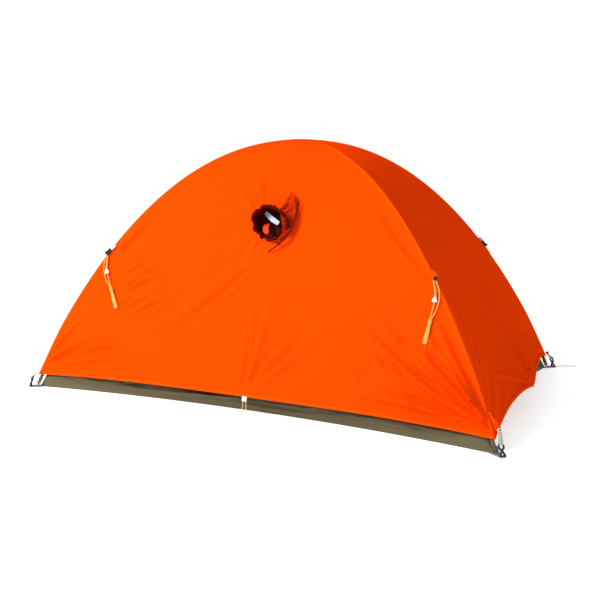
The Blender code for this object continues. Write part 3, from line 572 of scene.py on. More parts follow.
def turned_mesh(name, profile, place, steps=32):
    """A turned ring or knob. profile is a closed loop of (radius, height), placed by a matrix."""
    turn = np.linspace(0, 2 * np.pi, steps, endpoint=False)
    loop = np.array([*profile, profile[0]])
    points = np.stack([
        np.stack([r * np.cos(turn), r * np.sin(turn), np.full(steps, h)], -1) for r, h in loop])
    cloth_map = np.stack([np.tile(turn * profile[0][0], (len(loop), 1)),
                          np.tile(np.arange(len(loop))[:, None] * 0.001, (1, steps))], -1)
    mesh = grid_mesh(name, points, cloth_map, ring=True)
    bm = bmesh.new()
    bm.from_mesh(mesh)
    bmesh.ops.remove_doubles(bm, verts=bm.verts, dist=1e-6)
    bmesh.ops.recalc_face_normals(bm, faces=bm.faces)
    bm.transform(place)
    bm.to_mesh(mesh)
    bm.free()
    return mesh


def frame_at(origin, x_axis, y_axis):
    """A placement whose local X and Y lie along the given directions."""
    x = Vector(x_axis).normalized()
    z = x.cross(Vector(y_axis)).normalized()
    return Matrix.Translation(origin) @ Matrix((x, z.cross(x), z)).transposed().to_4x4()


def area_of(points, keep=None):
    """Area of a grid of points."""
    a = np.cross(points[1:, 1:] - points[:-1, :-1], points[1:, :-1] - points[:-1, 1:])
    cells = np.linalg.norm(a, axis=2) / 2
    return float((cells if keep is None else cells * keep).sum())


# ---------------------------------------------------------------- the two skins

def arch_height(share):
    return (1 - np.minimum(np.abs(share), 1.0) ** ARCH_SHOULDER) ** ARCH_FOOT


def share_at(z, inset):
    return (1 - (z / (HEIGHT - inset)) ** (1 / ARCH_FOOT)) ** (1 / ARCH_SHOULDER)


class Skin:
    """The fly or the inner tent: where its cloth lies between the seams."""

    def __init__(self, inset, hem, hem_sag, top_sag, door_foot, door_top, flare=0.0, pull=0.0, rise=0.0,
                 drop=0.0):
        self.inset = inset
        self.hem = share_at(hem, inset)
        self.hem_sag = hem_sag
        self.top_sag = top_sag
        self.door_foot = door_foot
        self.door_top = door_top
        self.flare = flare
        self.pull = pull
        self.rise = rise
        self.drop = drop
        self.door_share = self.hem + (TOP_SHARE - self.hem) * DOOR_SHARE_OF_ROWS

    def edge(self, share):
        """Distance from the middle along the diagonal, and height, of the seam."""
        spread = np.maximum(0.0, share - FLY_FLARE_FROM) / (self.hem - FLY_FLARE_FROM)
        distance = (HALF_DIAGONAL - self.inset) * share + self.flare * spread ** 2
        return distance, (HEIGHT - self.inset) * arch_height(share)

    def middle(self, z, across):
        foot, foot_z = self.edge(self.hem)
        top, top_z = self.edge(self.door_share)
        foot_out = foot * across - self.hem_sag
        top_out = top * across - self.top_sag
        return foot_out + (top_out - foot_out) * (z - foot_z) / (top_z - foot_z)

    def sag(self, share, across):
        distance, z = self.edge(share)
        high = self.top_sag * share / self.door_share
        return np.where(share < self.door_share, high, distance * across - self.middle(z, across))

    def door_half(self, z):
        foot_z = self.edge(self.hem)[1]
        top_z = self.edge(self.door_share)[1]
        return self.door_foot + (self.door_top - self.door_foot) * (z - foot_z) / (top_z - foot_z)

    def points(self, wall, u, share):
        """Points of a wall's outer face: u from -1 to 1 along it, share from the hem's to the crossing's."""
        along, out, length_part, width_part = WALLS[wall]
        distance, z = self.edge(share)
        half = distance * length_part - SEAM
        sag = self.sag(share, width_part)
        if wall == "rear":
            door = np.where(share < self.door_share, self.door_top * share / self.door_share,
                            self.door_half(z))
            outside = np.maximum(0.0, np.abs(u) - 0.5) * 2
            offset = np.copysign(np.minimum(np.abs(u), 0.5) * 2 * door + outside * (half - door), u)
            reach = distance * width_part - sag * (1 - outside)
            z = z - self.drop * outside ** 3 * self.hem_ramp(share)
        else:
            offset = half * u
            reach = distance * width_part - sag * (1 - u * u)
            z = z - self.drop * np.abs(u) ** 3 * self.hem_ramp(share)
        if wall in ("left", "right"):
            ramp = np.maximum(0.0, share - SIDE_PULL_FROM) / (self.hem - SIDE_PULL_FROM)
            reach = reach + self.pull * (1 - np.abs(u)) ** 2 * ramp ** 2
            z = z + self.rise * 4 * np.abs(u) * (1 - np.abs(u)) * self.hem_ramp(share)
        parts = [offset, reach, z + 0 * u]
        return sum(np.asarray(p)[..., None] * np.array(d) for p, d in zip(parts, (along, out, UP)))

    def hem_ramp(self, share):
        """From 0 high on the wall to 1 at the hem."""
        return (np.maximum(0.0, share - HEM_SHAPE_FROM) / (self.hem - HEM_SHAPE_FROM)) ** 2

    def door_points(self, u, share):
        """Points of the door's outer face."""
        along, out, _, width_part = WALLS["rear"]
        foot_z = self.edge(self.hem)[1]
        top_z = self.edge(self.door_share)[1] - DOOR_GAP
        z = np.minimum(np.maximum(self.edge(share)[1], foot_z), top_z)
        parts = [u * (self.door_half(z) - DOOR_GAP), self.middle(z, width_part) + 0 * u, z + 0 * u]
        return sum(np.asarray(p)[..., None] * np.array(d) for p, d in zip(parts, (along, out, UP)))

    def at(self, wall, offset, z):
        """A point of the outer face at a distance along the wall and a height, for any wall but the rear."""
        share = share_at(z, self.inset)
        half = self.edge(share)[0] * WALLS[wall][2] - SEAM
        return Vector(self.points(wall, np.array(offset / half), np.array(share)))

    def shares(self, rows, low=None, high=None):
        """Rows from the hem up, evenly spaced over the cloth."""
        fine = np.linspace(self.hem if low is None else low, TOP_SHARE if high is None else high, 400)
        distance, z = self.edge(fine)
        lengths = np.concatenate([[0], np.cumsum(np.hypot(np.diff(distance * 0.7), np.diff(z)))])
        return np.interp(np.linspace(0, lengths[-1], rows + 1), lengths, fine)


FLY = Skin(0.0, FLY_HEM, -0.003, 0.010, 0.55, 0.17, FLY_FLARE, SIDE_PULL, SIDE_RISE, CORNER_DROP)
INNER = Skin(INNER_INSET, TUB_HEIGHT, 0.036, 0.016, 0.48, 0.15)


# ---------------------------------------------------------------- folds

def fold(start, end, width, depth, bend=0.0):
    """A fold from where the cloth is pulled to where it runs out, in metres along the wall and up."""
    return start, end, width * FOLD_WIDTH, depth * FOLD_DEPTH, bend


def fan(rng, focus, angles, count, lengths, width, depth, skip=0.02):
    """Folds that spread from a point where the cloth is pulled, between two angles in degrees."""
    made = []
    for i in range(count):
        angle = math.radians(angles[0] + (angles[1] - angles[0]) * (i + rng.random()) / count)
        length = rng.uniform(*lengths)
        ray = np.array([math.cos(angle), math.sin(angle)])
        start = np.array(focus) + ray * skip
        made.append(fold(start, start + ray * length, width * rng.uniform(0.6, 1.3),
                         depth * rng.uniform(0.5, 1.3), length * rng.uniform(-0.05, 0.05)))
    return made


def ripples(rng, centre, angle, count, spacing, length, width, depth):
    """Short folds side by side."""
    turn = math.radians(angle)
    ray = np.array([math.cos(turn), math.sin(turn)])
    side = np.array([-ray[1], ray[0]])
    made = []
    for i in range(count):
        middle = (np.array(centre) + side * spacing * (i - (count - 1) / 2 + rng.uniform(-0.2, 0.2))
                  + ray * length * rng.uniform(-0.25, 0.25))
        half = ray * length * rng.uniform(0.35, 0.6)
        made.append(fold(middle - half, middle + half, width * rng.uniform(0.7, 1.2),
                         1.5 * depth * rng.uniform(0.6, 1.2), length * rng.uniform(-0.06, 0.06)))
    return made


def fold_height(along, up, folds):
    """How far the folds lift the cloth."""
    height = np.zeros_like(along)
    for start, end, width, depth, bend in folds:
        run = np.array(end) - np.array(start)
        length = np.linalg.norm(run)
        run = run / length
        t = ((along - start[0]) * run[0] + (up - start[1]) * run[1]) / length
        inside = np.clip(t, 0.0, 1.0)
        off = (up - start[1]) * run[0] - (along - start[0]) * run[1] - bend * 4 * inside * (1 - inside)
        spread = width * (0.45 + 0.75 * inside)
        taper = np.sin(np.pi * inside) ** 0.7 * (1 - 0.35 * inside)
        crest = np.exp(-(off / spread) ** 2) - 0.55 * np.exp(-((off - 1.5 * spread) / spread) ** 2)
        height += depth * taper * crest
    return height


def undulation(along, up, seed, size):
    """A slow unevenness of the whole wall."""
    rng = random.Random(seed)
    height = np.zeros_like(along)
    for _ in range(6):
        angle = rng.uniform(0, math.pi)
        length = rng.uniform(0.16, 0.45)
        phase = rng.uniform(0, 2 * math.pi)
        wave = (along * math.cos(angle) + up * math.sin(angle)) * 2 * math.pi / length
        height += size / 3 * np.sin(wave + phase)
    return height


def front_folds():
    rng = random.Random(11)
    foot = FLY.edge(FLY.hem)[0] * DIAGONAL.x
    folds = [
        fold((-0.014, 0.640), (-0.440, 0.310), 0.016, 0.0040, 0.018),
        fold((-0.020, 0.600), (-0.300, 0.330), 0.014, 0.0022, 0.012),
        fold((0.700, 0.610), (0.470, 0.850), 0.010, -0.0028, 0.010),
        fold((0.745, 0.560), (0.935, 0.300), 0.011, -0.0045, 0.004),
        fold((0.990, 0.130), (0.760, 0.470), 0.010, -0.0050, -0.006),
        fold((0.980, 0.120), (0.735, 0.385), 0.012, 0.0060, -0.010),
        fold((-0.720, 0.560), (-0.500, 0.800), 0.012, -0.0030, -0.006),
        fold((0.020, 0.100), (0.075, 0.500), 0.014, 0.0030, 0.010),
        fold((0.030, 0.100), (0.330, 0.410), 0.016, 0.0035, -0.012),
    ]
    folds += fan(rng, (foot, FLY_HEM), (126, 144), 7, (0.26, 0.56), 0.0085, 0.0080)
    folds += fan(rng, (foot, FLY_HEM), (144, 177), 11, (0.32, 0.66), 0.010, 0.0070)
    folds += ripples(rng, (0.53, 0.255), -38, 6, 0.026, 0.10, 0.009, 0.0022)
    folds += ripples(rng, (0.66, 0.195), -28, 5, 0.024, 0.14, 0.009, 0.0024)
    folds += fan(rng, (-foot, FLY_HEM), (2, 14), 5, (0.35, 0.75), 0.011, 0.0036)
    folds += fan(rng, (-foot, FLY_HEM), (18, 52), 6, (0.20, 0.42), 0.010, 0.0034)
    folds += ripples(rng, (-0.53, 0.475), 27, 8, 0.030, 0.24, 0.010, 0.0024)
    folds += ripples(rng, (-0.35, 0.275), 33, 6, 0.022, 0.13, 0.008, 0.0016)
    folds += fan(rng, (0.0, FLY_HEM), (35, 105), 5, (0.16, 0.36), 0.010, 0.0018)
    folds += fan(rng, (0.0, VENT_Z), (95, 175), 6, (0.09, 0.16), 0.009, 0.0020, 0.06)
    folds += fan(rng, (0.0, VENT_Z), (200, 262), 4, (0.10, 0.24), 0.011, 0.0022, 0.06)
    folds += fan(rng, (0.735, 0.57), (196, 262), 4, (0.10, 0.22), 0.008, 0.0020)
    folds += fan(rng, (-0.735, 0.57), (275, 345), 4, (0.10, 0.20), 0.008, 0.0018)
    return folds


def side_folds(seed):
    rng = random.Random(seed)
    foot = FLY.edge(FLY.hem)[0] * DIAGONAL.y
    folds = [
        fold((0.205, 0.640), (0.125, 0.150), 0.013, 0.0050, 0.014),
        fold((0.255, 0.480), (0.262, 0.250), 0.010, 0.0034, 0.004),
        fold((0.075, 0.700), (-0.030, 0.260), 0.024, 0.0044, 0.012),
        fold((0.150, 0.780), (0.230, 0.500), 0.014, 0.0030, 0.0),
        fold((-0.310, 0.520), (-0.470, 0.260), 0.013, 0.0030, 0.0),
    ]
    folds += fan(rng, (0.0, FLY_HEM), (100, 174), 8, (0.12, 0.34), 0.009, 0.0030)
    folds += fan(rng, (0.0, FLY_HEM), (8, 78), 6, (0.12, 0.30), 0.009, 0.0026)
    folds += fan(rng, (-foot, FLY_HEM), (6, 66), 6, (0.16, 0.34), 0.009, 0.0028)
    folds += fan(rng, (foot, FLY_HEM), (116, 174), 6, (0.16, 0.34), 0.009, 0.0028)
    return folds


def rear_folds():
    rng = random.Random(31)
    foot = FLY.edge(FLY.hem)[0] * DIAGONAL.x
    folds = fan(rng, (foot, FLY_HEM), (126, 176), 9, (0.20, 0.46), 0.011, 0.0032)
    folds += fan(rng, (-foot, FLY_HEM), (4, 54), 9, (0.20, 0.46), 0.011, 0.0032)
    folds += fan(rng, (0.735, 0.57), (196, 262), 4, (0.10, 0.22), 0.008, 0.0022)
    folds += fan(rng, (-0.735, 0.57), (275, 345), 4, (0.10, 0.20), 0.008, 0.0022)
    folds += fan(rng, (0.0, FLY_HEM), (30, 150), 7, (0.16, 0.34), 0.010, 0.0022)
    return folds


FLY_FOLDS = {"front": front_folds(), "right": side_folds(21), "rear": rear_folds(), "left": side_folds(22)}


def smooth_step(value, low, high):
    t = np.clip((value - low) / (high - low), 0.0, 1.0)
    return t * t * (3 - 2 * t)


def folded(points, wall, u, folds, seed, size):
    """The points of a wall with its folds, which die out at the seams and are calm behind a guy line."""
    along = points @ np.array(WALLS[wall][0])
    lift = fold_height(along, points[..., 2], folds) + undulation(along, points[..., 2], seed, size)
    half = np.abs(along[:, -1])[:, None]
    pinned = smooth_step((1 - np.abs(u)) * half, 0.004, 0.030)
    if wall in ("front", "rear"):
        x, z, half_x, half_z = GUY_REGION
        off = np.hypot((np.abs(along) - x) / half_x, (points[..., 2] - z) / half_z)
        pinned = pinned * (0.2 + 0.8 * smooth_step(off, 0.8, 1.5))
    lift = np.maximum(lift, -0.0025 - 0.045 * (1 - np.abs(u)) * half)
    return points + normals_of(points) * (lift * pinned)[..., None]


def cloth_map_of(points, wall):
    """Metres along the wall, and metres up over the cloth."""
    along = points @ np.array(WALLS[wall][0])
    middle = points[:, points.shape[1] // 2]
    up = np.concatenate([[0], np.cumsum(np.linalg.norm(np.diff(middle, axis=0), axis=1))])
    return np.stack([along, np.tile(up[:, None], (1, points.shape[1]))], -1)


# ---------------------------------------------------------------- the fly


def fly_grid(wall, columns, rows, low=None, high=None):
    share, u = np.meshgrid(FLY.shares(rows, low, high), np.linspace(-1, 1, columns + 1), indexing="ij")
    points = FLY.points(wall, u, share)
    return folded(points, wall, u, FLY_FOLDS[wall], len(wall), 0.0018), u, share


def declare_sheet(obj, points, keep):
    """Works out the cloth's flat size: the box that the panel is cut from, and the panel's own area; nothing
    is kept.
    """
    hem = float(np.linalg.norm(np.diff(points[0], axis=0), axis=1).sum())
    middle = points[:, points.shape[1] // 2]
    slope = float(np.linalg.norm(np.diff(middle, axis=0), axis=1).sum())
    area = min(area_of(points, keep), hem * slope)


def hem_band(name, points, columns, body, paint="fly_sewn"):
    """The turned and sewn edge of a cloth, along the first rows of its grid."""
    rows = points[:4, columns]
    normal = normals_of(points)[:4, columns]
    reach = np.linalg.norm(rows - rows[0], axis=2)
    target = HEM_BAND
    inner = np.stack([np.interp(target, reach[:, i], np.arange(4)) for i in range(rows.shape[1])])
    low = np.floor(inner).astype(int).clip(0, 2)
    part = (inner - low)[:, None]
    picks = np.arange(rows.shape[1])
    top = rows[low, picks] * (1 - part) + rows[low + 1, picks] * part
    top_normal = normal[low, picks]
    drop = (rows[0] - top) / HEM_BAND
    section = [(0.0, 0.0002), (0.0005, 0.0011), (0.45, 0.0013), (0.97, 0.0012), (1.02, 0.0003),
               (1.0, -0.0010), (0.6, -0.0012)]
    line = [top + drop * (HEM_BAND * t) + top_normal * lift for t, lift in section]
    lengths = np.concatenate([[0], np.cumsum(np.linalg.norm(np.diff(rows[0], axis=0), axis=1))])
    across = [HEM_BAND * (0.5 - t) for t, _ in section]
    cloth_map = np.stack([np.tile(np.array(across)[:, None], (1, len(lengths))),
                          np.tile(lengths, (len(section), 1))], -1)
    mesh = grid_mesh(name, np.stack(line)[::-1], cloth_map[::-1])
    return thicken(new_piece(name, mesh, paint, body), 0.0005)


def build_fly():
    for wall, columns, rows in (("front", 300, 150), ("right", 180, 150), ("left", 180, 150)):
        points, u, share = fly_grid(wall, columns, rows)
        keep = np.ones((rows, columns), bool)
        if wall == "front":
            middle = (points[1:, 1:] + points[:-1, :-1]) / 2
            keep = np.linalg.norm(middle - np.array(vent_point(*VENT_MOUTH, 0.0)), axis=2) > VENT_RADIUS
        mesh = grid_mesh(f"fly_{wall}", points, cloth_map_of(points, wall), keep)
        piece = new_piece(f"fly_{wall}", mesh, "fly", "tent", [f"fly_{wall}_wall"])
        declare_sheet(thicken(piece), points, keep)
        hem_band(f"fly_{wall}_hem", points, slice(None), "tent")
    build_fly_rear()
    for name, signs in CORNERS.items():
        build_seam(f"fly_seam_{name}", FLY, signs, "fly_sewn")
    build_apex()


def build_fly_rear():
    columns, low_rows, high_rows = 240, 76, 74
    share = np.concatenate([FLY.shares(low_rows, None, FLY.door_share),
                            FLY.shares(high_rows, FLY.door_share, None)[1:]])
    share, u = np.meshgrid(share, np.linspace(-1, 1, columns + 1), indexing="ij")
    points = folded(FLY.points("rear", u, share), "rear", u, FLY_FOLDS["rear"], 4, 0.0018)
    quarter = columns // 4
    keep = np.ones((low_rows + high_rows, columns), bool)
    keep[:low_rows, quarter:3 * quarter] = False
    mesh = grid_mesh("fly_rear", points, cloth_map_of(points, "rear"), keep)
    piece = new_piece("fly_rear", mesh, "fly", "tent", ["fly_rear_wall"])
    declare_sheet(thicken(piece), points, keep)
    hem_band("fly_rear_hem_right", points, slice(0, quarter + 1), "tent")
    hem_band("fly_rear_hem_left", points, slice(3 * quarter, None), "tent")

    share, u = np.meshgrid(FLY.shares(low_rows, None, FLY.door_share), np.linspace(-1, 1, 141),
                           indexing="ij")
    flat = FLY.door_points(u, share)
    along = flat @ np.array(WALLS["rear"][0])
    rng = random.Random(41)
    folds = fan(rng, (-0.50, 0.10), (8, 60), 7, (0.2, 0.4), 0.011, 0.0030)
    folds += fan(rng, (0.50, 0.10), (120, 172), 7, (0.2, 0.4), 0.011, 0.0030)
    folds += ripples(rng, (0.0, 0.45), 84, 5, 0.05, 0.3, 0.014, 0.0022)
    pinned = smooth_step((1 - np.abs(u)) * np.abs(along[:, -1])[:, None], 0.002, 0.030)
    lift = fold_height(along, flat[..., 2], folds) + undulation(along, flat[..., 2], 5, 0.0016)
    points = flat + normals_of(flat) * (lift * pinned)[..., None]
    mesh = grid_mesh("fly_door_cloth", points, cloth_map_of(points, "rear"))
    piece = new_piece("fly_door_cloth", mesh, "fly", "fly_door", ["fly_door"])
    declare_sheet(thicken(piece), points, None)
    hem_band("fly_door_hem", points, slice(None), "fly_door")
    build_zip("fly_zip", FLY, "tent", 0.0016)


def build_zip(name, skin, body, gap):
    """A zip's tape and teeth along both slanted edges and over the top of a doorway."""
    share = skin.shares(60, None, skin.door_share)
    sides = [skin.door_points(np.array(u), share) for u in (-1.0, 1.0)]
    route = np.concatenate([sides[0][2:], sides[1][:-2][::-1]])
    normal = np.array(WALLS["rear"][1])
    line = smooth_route([Vector(point) for point in route + normal * gap], 0.006)
    flat = np.array([0.0, 0.0, 1.0])
    middle = np.array([0.0, 0.0, line[:, 2].mean()])
    across = line - middle - normal * (line - middle).dot(normal)[:, None] + flat * 1e-6
    across /= np.linalg.norm(across, axis=1, keepdims=True)
    step = np.gradient(line, axis=0)
    across -= step * ((across * step).sum(axis=1) / (step * step).sum(axis=1))[:, None]
    mesh = band_mesh(name, line, across, 0.018, 0.0010)
    new_piece(f"{name}_tape", mesh, "zip", body)
    teeth = tube_mesh(name, line + normal * 0.0010, 0.0016, 8)
    new_piece(f"{name}_teeth", teeth, "teeth", body)


def build_seam(name, skin, signs, paint):
    """A felled seam over one arch: both walls' edges folded together and sewn down twice."""
    corner = {(-1, -1): ("front", -1, "left", 1), (1, -1): ("front", 1, "right", -1),
              (1, 1): ("right", 1, "rear", -1), (-1, 1): ("rear", 1, "left", -1)}[signs]
    first, first_u, second, second_u = corner
    share = skin.shares(150)
    sections = []
    for wall, side, steps in ((first, first_u, (1.0, 0.92, 0.45)),
                              (second, second_u, (0.0, 0.45, 0.92, 1.0))):
        half = skin.edge(share)[0] * WALLS[wall][2] - SEAM
        for step in steps:
            width = SEAM_WIDTH * step / abs(WALLS[wall][3])
            u = side * np.maximum(1 - width / np.maximum(half, 1e-4), 0.05)
            lift = {1.0: -0.0002, 0.92: 0.0009, 0.45: 0.0013, 0.0: 0.0017}[step]
            beside = second if wall == first else first
            out = np.array(WALLS[wall][1]) * 0.75 + np.array(WALLS[beside][1]) * 0.25
            slope = arch_height(share)[:, None]
            away = out[None, :] * (1 - slope) + np.array(UP)[None, :] * (slope + 0.15)
            away /= np.linalg.norm(away, axis=1, keepdims=True)
            sections.append(skin.points(wall, u, share) + away * lift)
    points = np.stack(sections, axis=1)
    lengths = np.concatenate([[0], np.cumsum(np.linalg.norm(np.diff(points[:, 3], axis=0), axis=1))])
    across = np.array([-1, -0.92, -0.45, 0, 0.45, 0.92, 1]) * SEAM_WIDTH
    cloth_map = np.stack([np.tile(across, (len(lengths), 1)), np.tile(lengths[:, None], (1, 7))], -1)
    if np.cross(points[0, -1] - points[0, 0], points[5, 3] - points[0, 3]) @ points[0, 3] < 0:
        points, cloth_map = points[:, ::-1], cloth_map[:, ::-1]
    mesh = grid_mesh(name, points, cloth_map)
    return thicken(new_piece(name, mesh, paint, "tent"), 0.0005)


def build_apex():
    """The round patch sewn over the crossing of the four seams."""
    rings, spokes, radius = 8, 64, 0.052
    r = np.linspace(0.0008, 1.0, rings + 1)[:, None]
    turn = np.linspace(0, 2 * np.pi, spokes, endpoint=False)[None, :]
    x, y = radius * r * np.cos(turn), radius * 0.8 * r * np.sin(turn)
    share = np.maximum(np.abs(x) / DIAGONAL.x, np.abs(y) / DIAGONAL.y) / HALF_DIAGONAL
    z = HEIGHT * arch_height(share) + 0.0026 - 0.0016 * r ** 6
    points = np.stack([x, y, z - 0 * y], -1)
    cloth_map = np.stack([radius * (r - 0.92) + 0 * x, turn * radius + 0 * x], -1)
    mesh = grid_mesh("fly_apex_patch", points, cloth_map, ring=True)
    mesh.flip_normals()
    thicken(new_piece("fly_apex_patch", mesh, "fly_sewn", "tent"), 0.0006, 1.0)


# ---------------------------------------------------------------- the inner tent and the tub

def build_inner():
    rng = random.Random(51)
    for wall, columns, rows in (("front", 120, 70), ("right", 80, 70), ("left", 80, 70)):
        share, u = np.meshgrid(INNER.shares(rows), np.linspace(-1, 1, columns + 1), indexing="ij")
        half = INNER.edge(INNER.hem)[0] * WALLS[wall][2]
        folds = fan(rng, (half, TUB_HEIGHT), (125, 176), 7, (0.2, 0.4), 0.014, 0.0030)
        folds += fan(rng, (-half, TUB_HEIGHT), (4, 55), 7, (0.2, 0.4), 0.014, 0.0030)
        points = folded(INNER.points(wall, u, share), wall, u, folds, 6, 0.0016)
        mesh = grid_mesh(f"inner_{wall}", points, cloth_map_of(points, wall))
        piece = new_piece(f"inner_{wall}", mesh, "inner", "tent", [f"inner_{wall}_wall"])
        declare_sheet(thicken(piece), points, None)
    columns, low_rows, high_rows = 96, 34, 34
    share = np.concatenate([INNER.shares(low_rows, None, INNER.door_share),
                            INNER.shares(high_rows, INNER.door_share, None)[1:]])
    share, u = np.meshgrid(share, np.linspace(-1, 1, columns + 1), indexing="ij")
    points = folded(INNER.points("rear", u, share), "rear", u, [], 7, 0.0012)
    keep = np.ones((low_rows + high_rows, columns), bool)
    keep[:low_rows, columns // 4:3 * columns // 4] = False
    mesh = grid_mesh("inner_rear", points, cloth_map_of(points, "rear"), keep)
    piece = new_piece("inner_rear", mesh, "inner", "tent", ["inner_rear_wall"])
    declare_sheet(thicken(piece), points, keep)

    share, u = np.meshgrid(INNER.shares(low_rows, None, INNER.door_share), np.linspace(-1, 1, 73),
                           indexing="ij")
    points = INNER.door_points(u, share)
    pinned = smooth_step(1 - np.abs(u), 0.0, 0.1)
    lift = undulation(points[..., 0], points[..., 2], 8, 0.0012) * pinned
    points = points + normals_of(points) * lift[..., None]
    mesh = grid_mesh("inner_door_cloth", points, cloth_map_of(points, "rear"))
    piece = new_piece("inner_door_cloth", mesh, "inner", "inner_door", ["inner_door"])
    mesh.materials.append(PAINTS["netting"])
    cells = np.arange(low_rows * 72).reshape(low_rows, 72)
    for face in cells[14:-3, 9:-9].ravel():
        mesh.polygons[int(face)].material_index = 1
    declare_sheet(thicken(piece), points, None)
    build_zip("inner_zip", INNER, "tent", 0.0016)
    for name, signs in CORNERS.items():
        build_seam(f"inner_seam_{name}", INNER, signs, "inner_sewn")


def tub_ground():
    """Round the floor: the distance along each wall, the floor's edge, the wall cloth's upper edge, the
    direction out, and how far the point is from a corner, from 0 to 1."""
    per_side = 150
    corner = (HALF_DIAGONAL - INNER_INSET + TUB_REACH) * DIAGONAL
    columns = []
    for wall in ("front", "right", "rear", "left"):
        along, out, _, _ = WALLS[wall]
        a = np.linspace(-1, 1, per_side + 1)[:-1]
        half = abs(corner.dot(along))
        bow = FLOOR_BOW + TUB_REACH * abs(DIAGONAL.dot(out))
        reach = abs(corner.dot(out)) - bow * (1 - a ** 2)
        ground = (a * half)[:, None] * np.array(along) + reach[:, None] * np.array(out)
        if wall == "rear":
            outside = np.maximum(0.0, np.abs(a) - 0.5) * 2
            foot, foot_z = INNER.edge(INNER.hem)
            door = INNER.door_half(foot_z)
            wide = foot * DIAGONAL.x
            offset = np.minimum(np.abs(a), 0.5) * 2 * door + outside * (wide - door)
            top = (np.copysign(offset, a)[:, None] * np.array(along)
                   + (foot * DIAGONAL.y - 0.036 * (1 - outside))[:, None] * np.array(out)
                   + foot_z * np.array(UP))
        else:
            top = INNER.points(wall, a, np.full_like(a, INNER.hem))
        top = top - np.array(UP) * DOOR_GAP
        columns.append((a * half, ground, top, np.tile(np.array(out), (per_side, 1)), 1 - np.abs(a)))
    return (np.concatenate(parts) for parts in zip(*columns))


def build_tub():
    """The floor and its low wall: one cloth, with the wall's folds drawn to the corners."""
    wall_rows, floor_rings = 26, 14
    run, ground, top, out, inside = tub_ground()
    rng = random.Random(61)
    folds = [(rng.uniform(0.08, 0.92), rng.uniform(-0.16, 0.16), rng.uniform(0.0035, 0.0080),
              rng.uniform(2.0, 6.0), rng.uniform(0, 6.3)) for _ in range(12)]
    rows = []
    for j in range(wall_rows + 1):
        t = j / wall_rows
        base = ground * (1 - t) + top * t
        lift = np.zeros(len(run))
        for level, slope, size, wave, phase in folds:
            middle = level + slope * np.sin(run * wave + phase)
            strength = 0.45 + 0.55 * np.sin(run * wave * 0.7 + phase * 2)
            lift += size * strength * np.exp(-((t - middle) / 0.060) ** 2)
        bulge = 0.005 * math.sin(math.pi * t)
        calm = smooth_step(inside, 0.0, 0.04) * math.sin(math.pi * min(1.0, t * 1.02)) ** 0.5
        rows.append(base + out * ((lift + bulge) * calm)[:, None])
    floor = []
    for j in range(1, floor_rings + 1):
        ring = ground * (1 - j / floor_rings * 0.995)
        wave = np.sin(ring[:, 0] * 9 + 1.3) * np.sin(ring[:, 1] * 11) * 0.5 + 0.5
        ring = ring + np.array(UP) * (0.0022 * wave * min(1.0, j / 2))[:, None]
        floor.append(ring)
    points = np.stack(floor[::-1] + rows)
    around = np.concatenate([[0], np.cumsum(np.linalg.norm(np.diff(ground, axis=0), axis=1))])
    reach = np.linalg.norm(points - points[0:1], axis=2)
    cloth_map = np.stack([np.tile(around, (len(points), 1)), reach], -1)
    mesh = grid_mesh("tub_cloth", points, cloth_map, ring=True)
    piece = new_piece("tub_cloth", mesh, "tub", "tent", ["tub_floor"])
    thicken(piece)


# ---------------------------------------------------------------- poles and sleeves

def pole_line(index):
    """The smooth arch that a pole follows, from left to right."""
    direction = np.array([DIAGONAL.x, DIAGONAL.y if index == 0 else -DIAGONAL.y, 0.0])
    half_span = HALF_DIAGONAL - POLE_INSET
    rise = HEIGHT - POLE_INSET - POLE_STEP * index
    share = np.linspace(-1, 1, 401)
    return direction * (half_span * share)[:, None] + np.array(UP) * (rise * arch_height(share))[:, None]


def cut_line(line, start, end, count):
    lengths = np.concatenate([[0], np.cumsum(np.linalg.norm(np.diff(line, axis=0), axis=1))])
    if end <= 0:
        end += lengths[-1]
    wanted = np.linspace(start, end, count)
    return np.stack([np.interp(wanted, lengths, line[:, i]) for i in range(3)], axis=1)


def build_sleeves():
    """The cloth sleeves that hold the poles on the inner tent, slack and creased round the tube."""
    for index, letter in enumerate("ab"):
        line = pole_line(index)
        whole = float(np.linalg.norm(np.diff(line, axis=0), axis=1).sum())
        for side, start, end in (("left", SLEEVE_FOOT, whole / 2 - SLEEVE_TOP),
                                 ("right", whole / 2 + SLEEVE_TOP, whole - SLEEVE_FOOT)):
            name = f"sleeve_{letter}_{side}"
            route = cut_line(line, start, end, 220)
            sides, other = line_frames(route, any_side(route[1] - route[0]))
            turn = np.linspace(0, 2 * np.pi, 20, endpoint=False)
            length = np.linspace(0, end - start, len(route))[:, None]
            size = SLEEVE_RADIUS * (0.97 + 0.045 * np.sin(length * 260 + 2 * np.sin(length * 37) + turn * 2)
                                    + 0.03 * np.sin(length * 95 + turn * 3 + index))
            ring = sides[:, None] * np.cos(turn)[None, :, None] + other[:, None] * np.sin(turn)[None, :, None]
            points = route[:, None] + ring * size[..., None]
            cloth_map = np.stack([np.tile(turn * SLEEVE_RADIUS, (len(route), 1)),
                                  np.tile(length, (1, len(turn)))], -1)
            mesh = grid_mesh(name + "_cloth", points, cloth_map, ring=True)
            piece = new_piece(name + "_cloth", mesh, "sleeve", "tent", [name])
            thicken(piece)


# ---------------------------------------------------------------- cords

def cord_piece(name, line, radius, paint, body, replaces, sides=10):
    """A cord as a tube along its line."""
    mesh = tube_mesh(name, line, radius, sides)
    return new_piece(name, mesh, paint, body, replaces)


def corner_frame(signs):
    """At a corner: the direction out along the diagonal, and the one across it."""
    out = Vector((DIAGONAL.x * signs[0], DIAGONAL.y * signs[1], 0))
    return out, UP.cross(out)


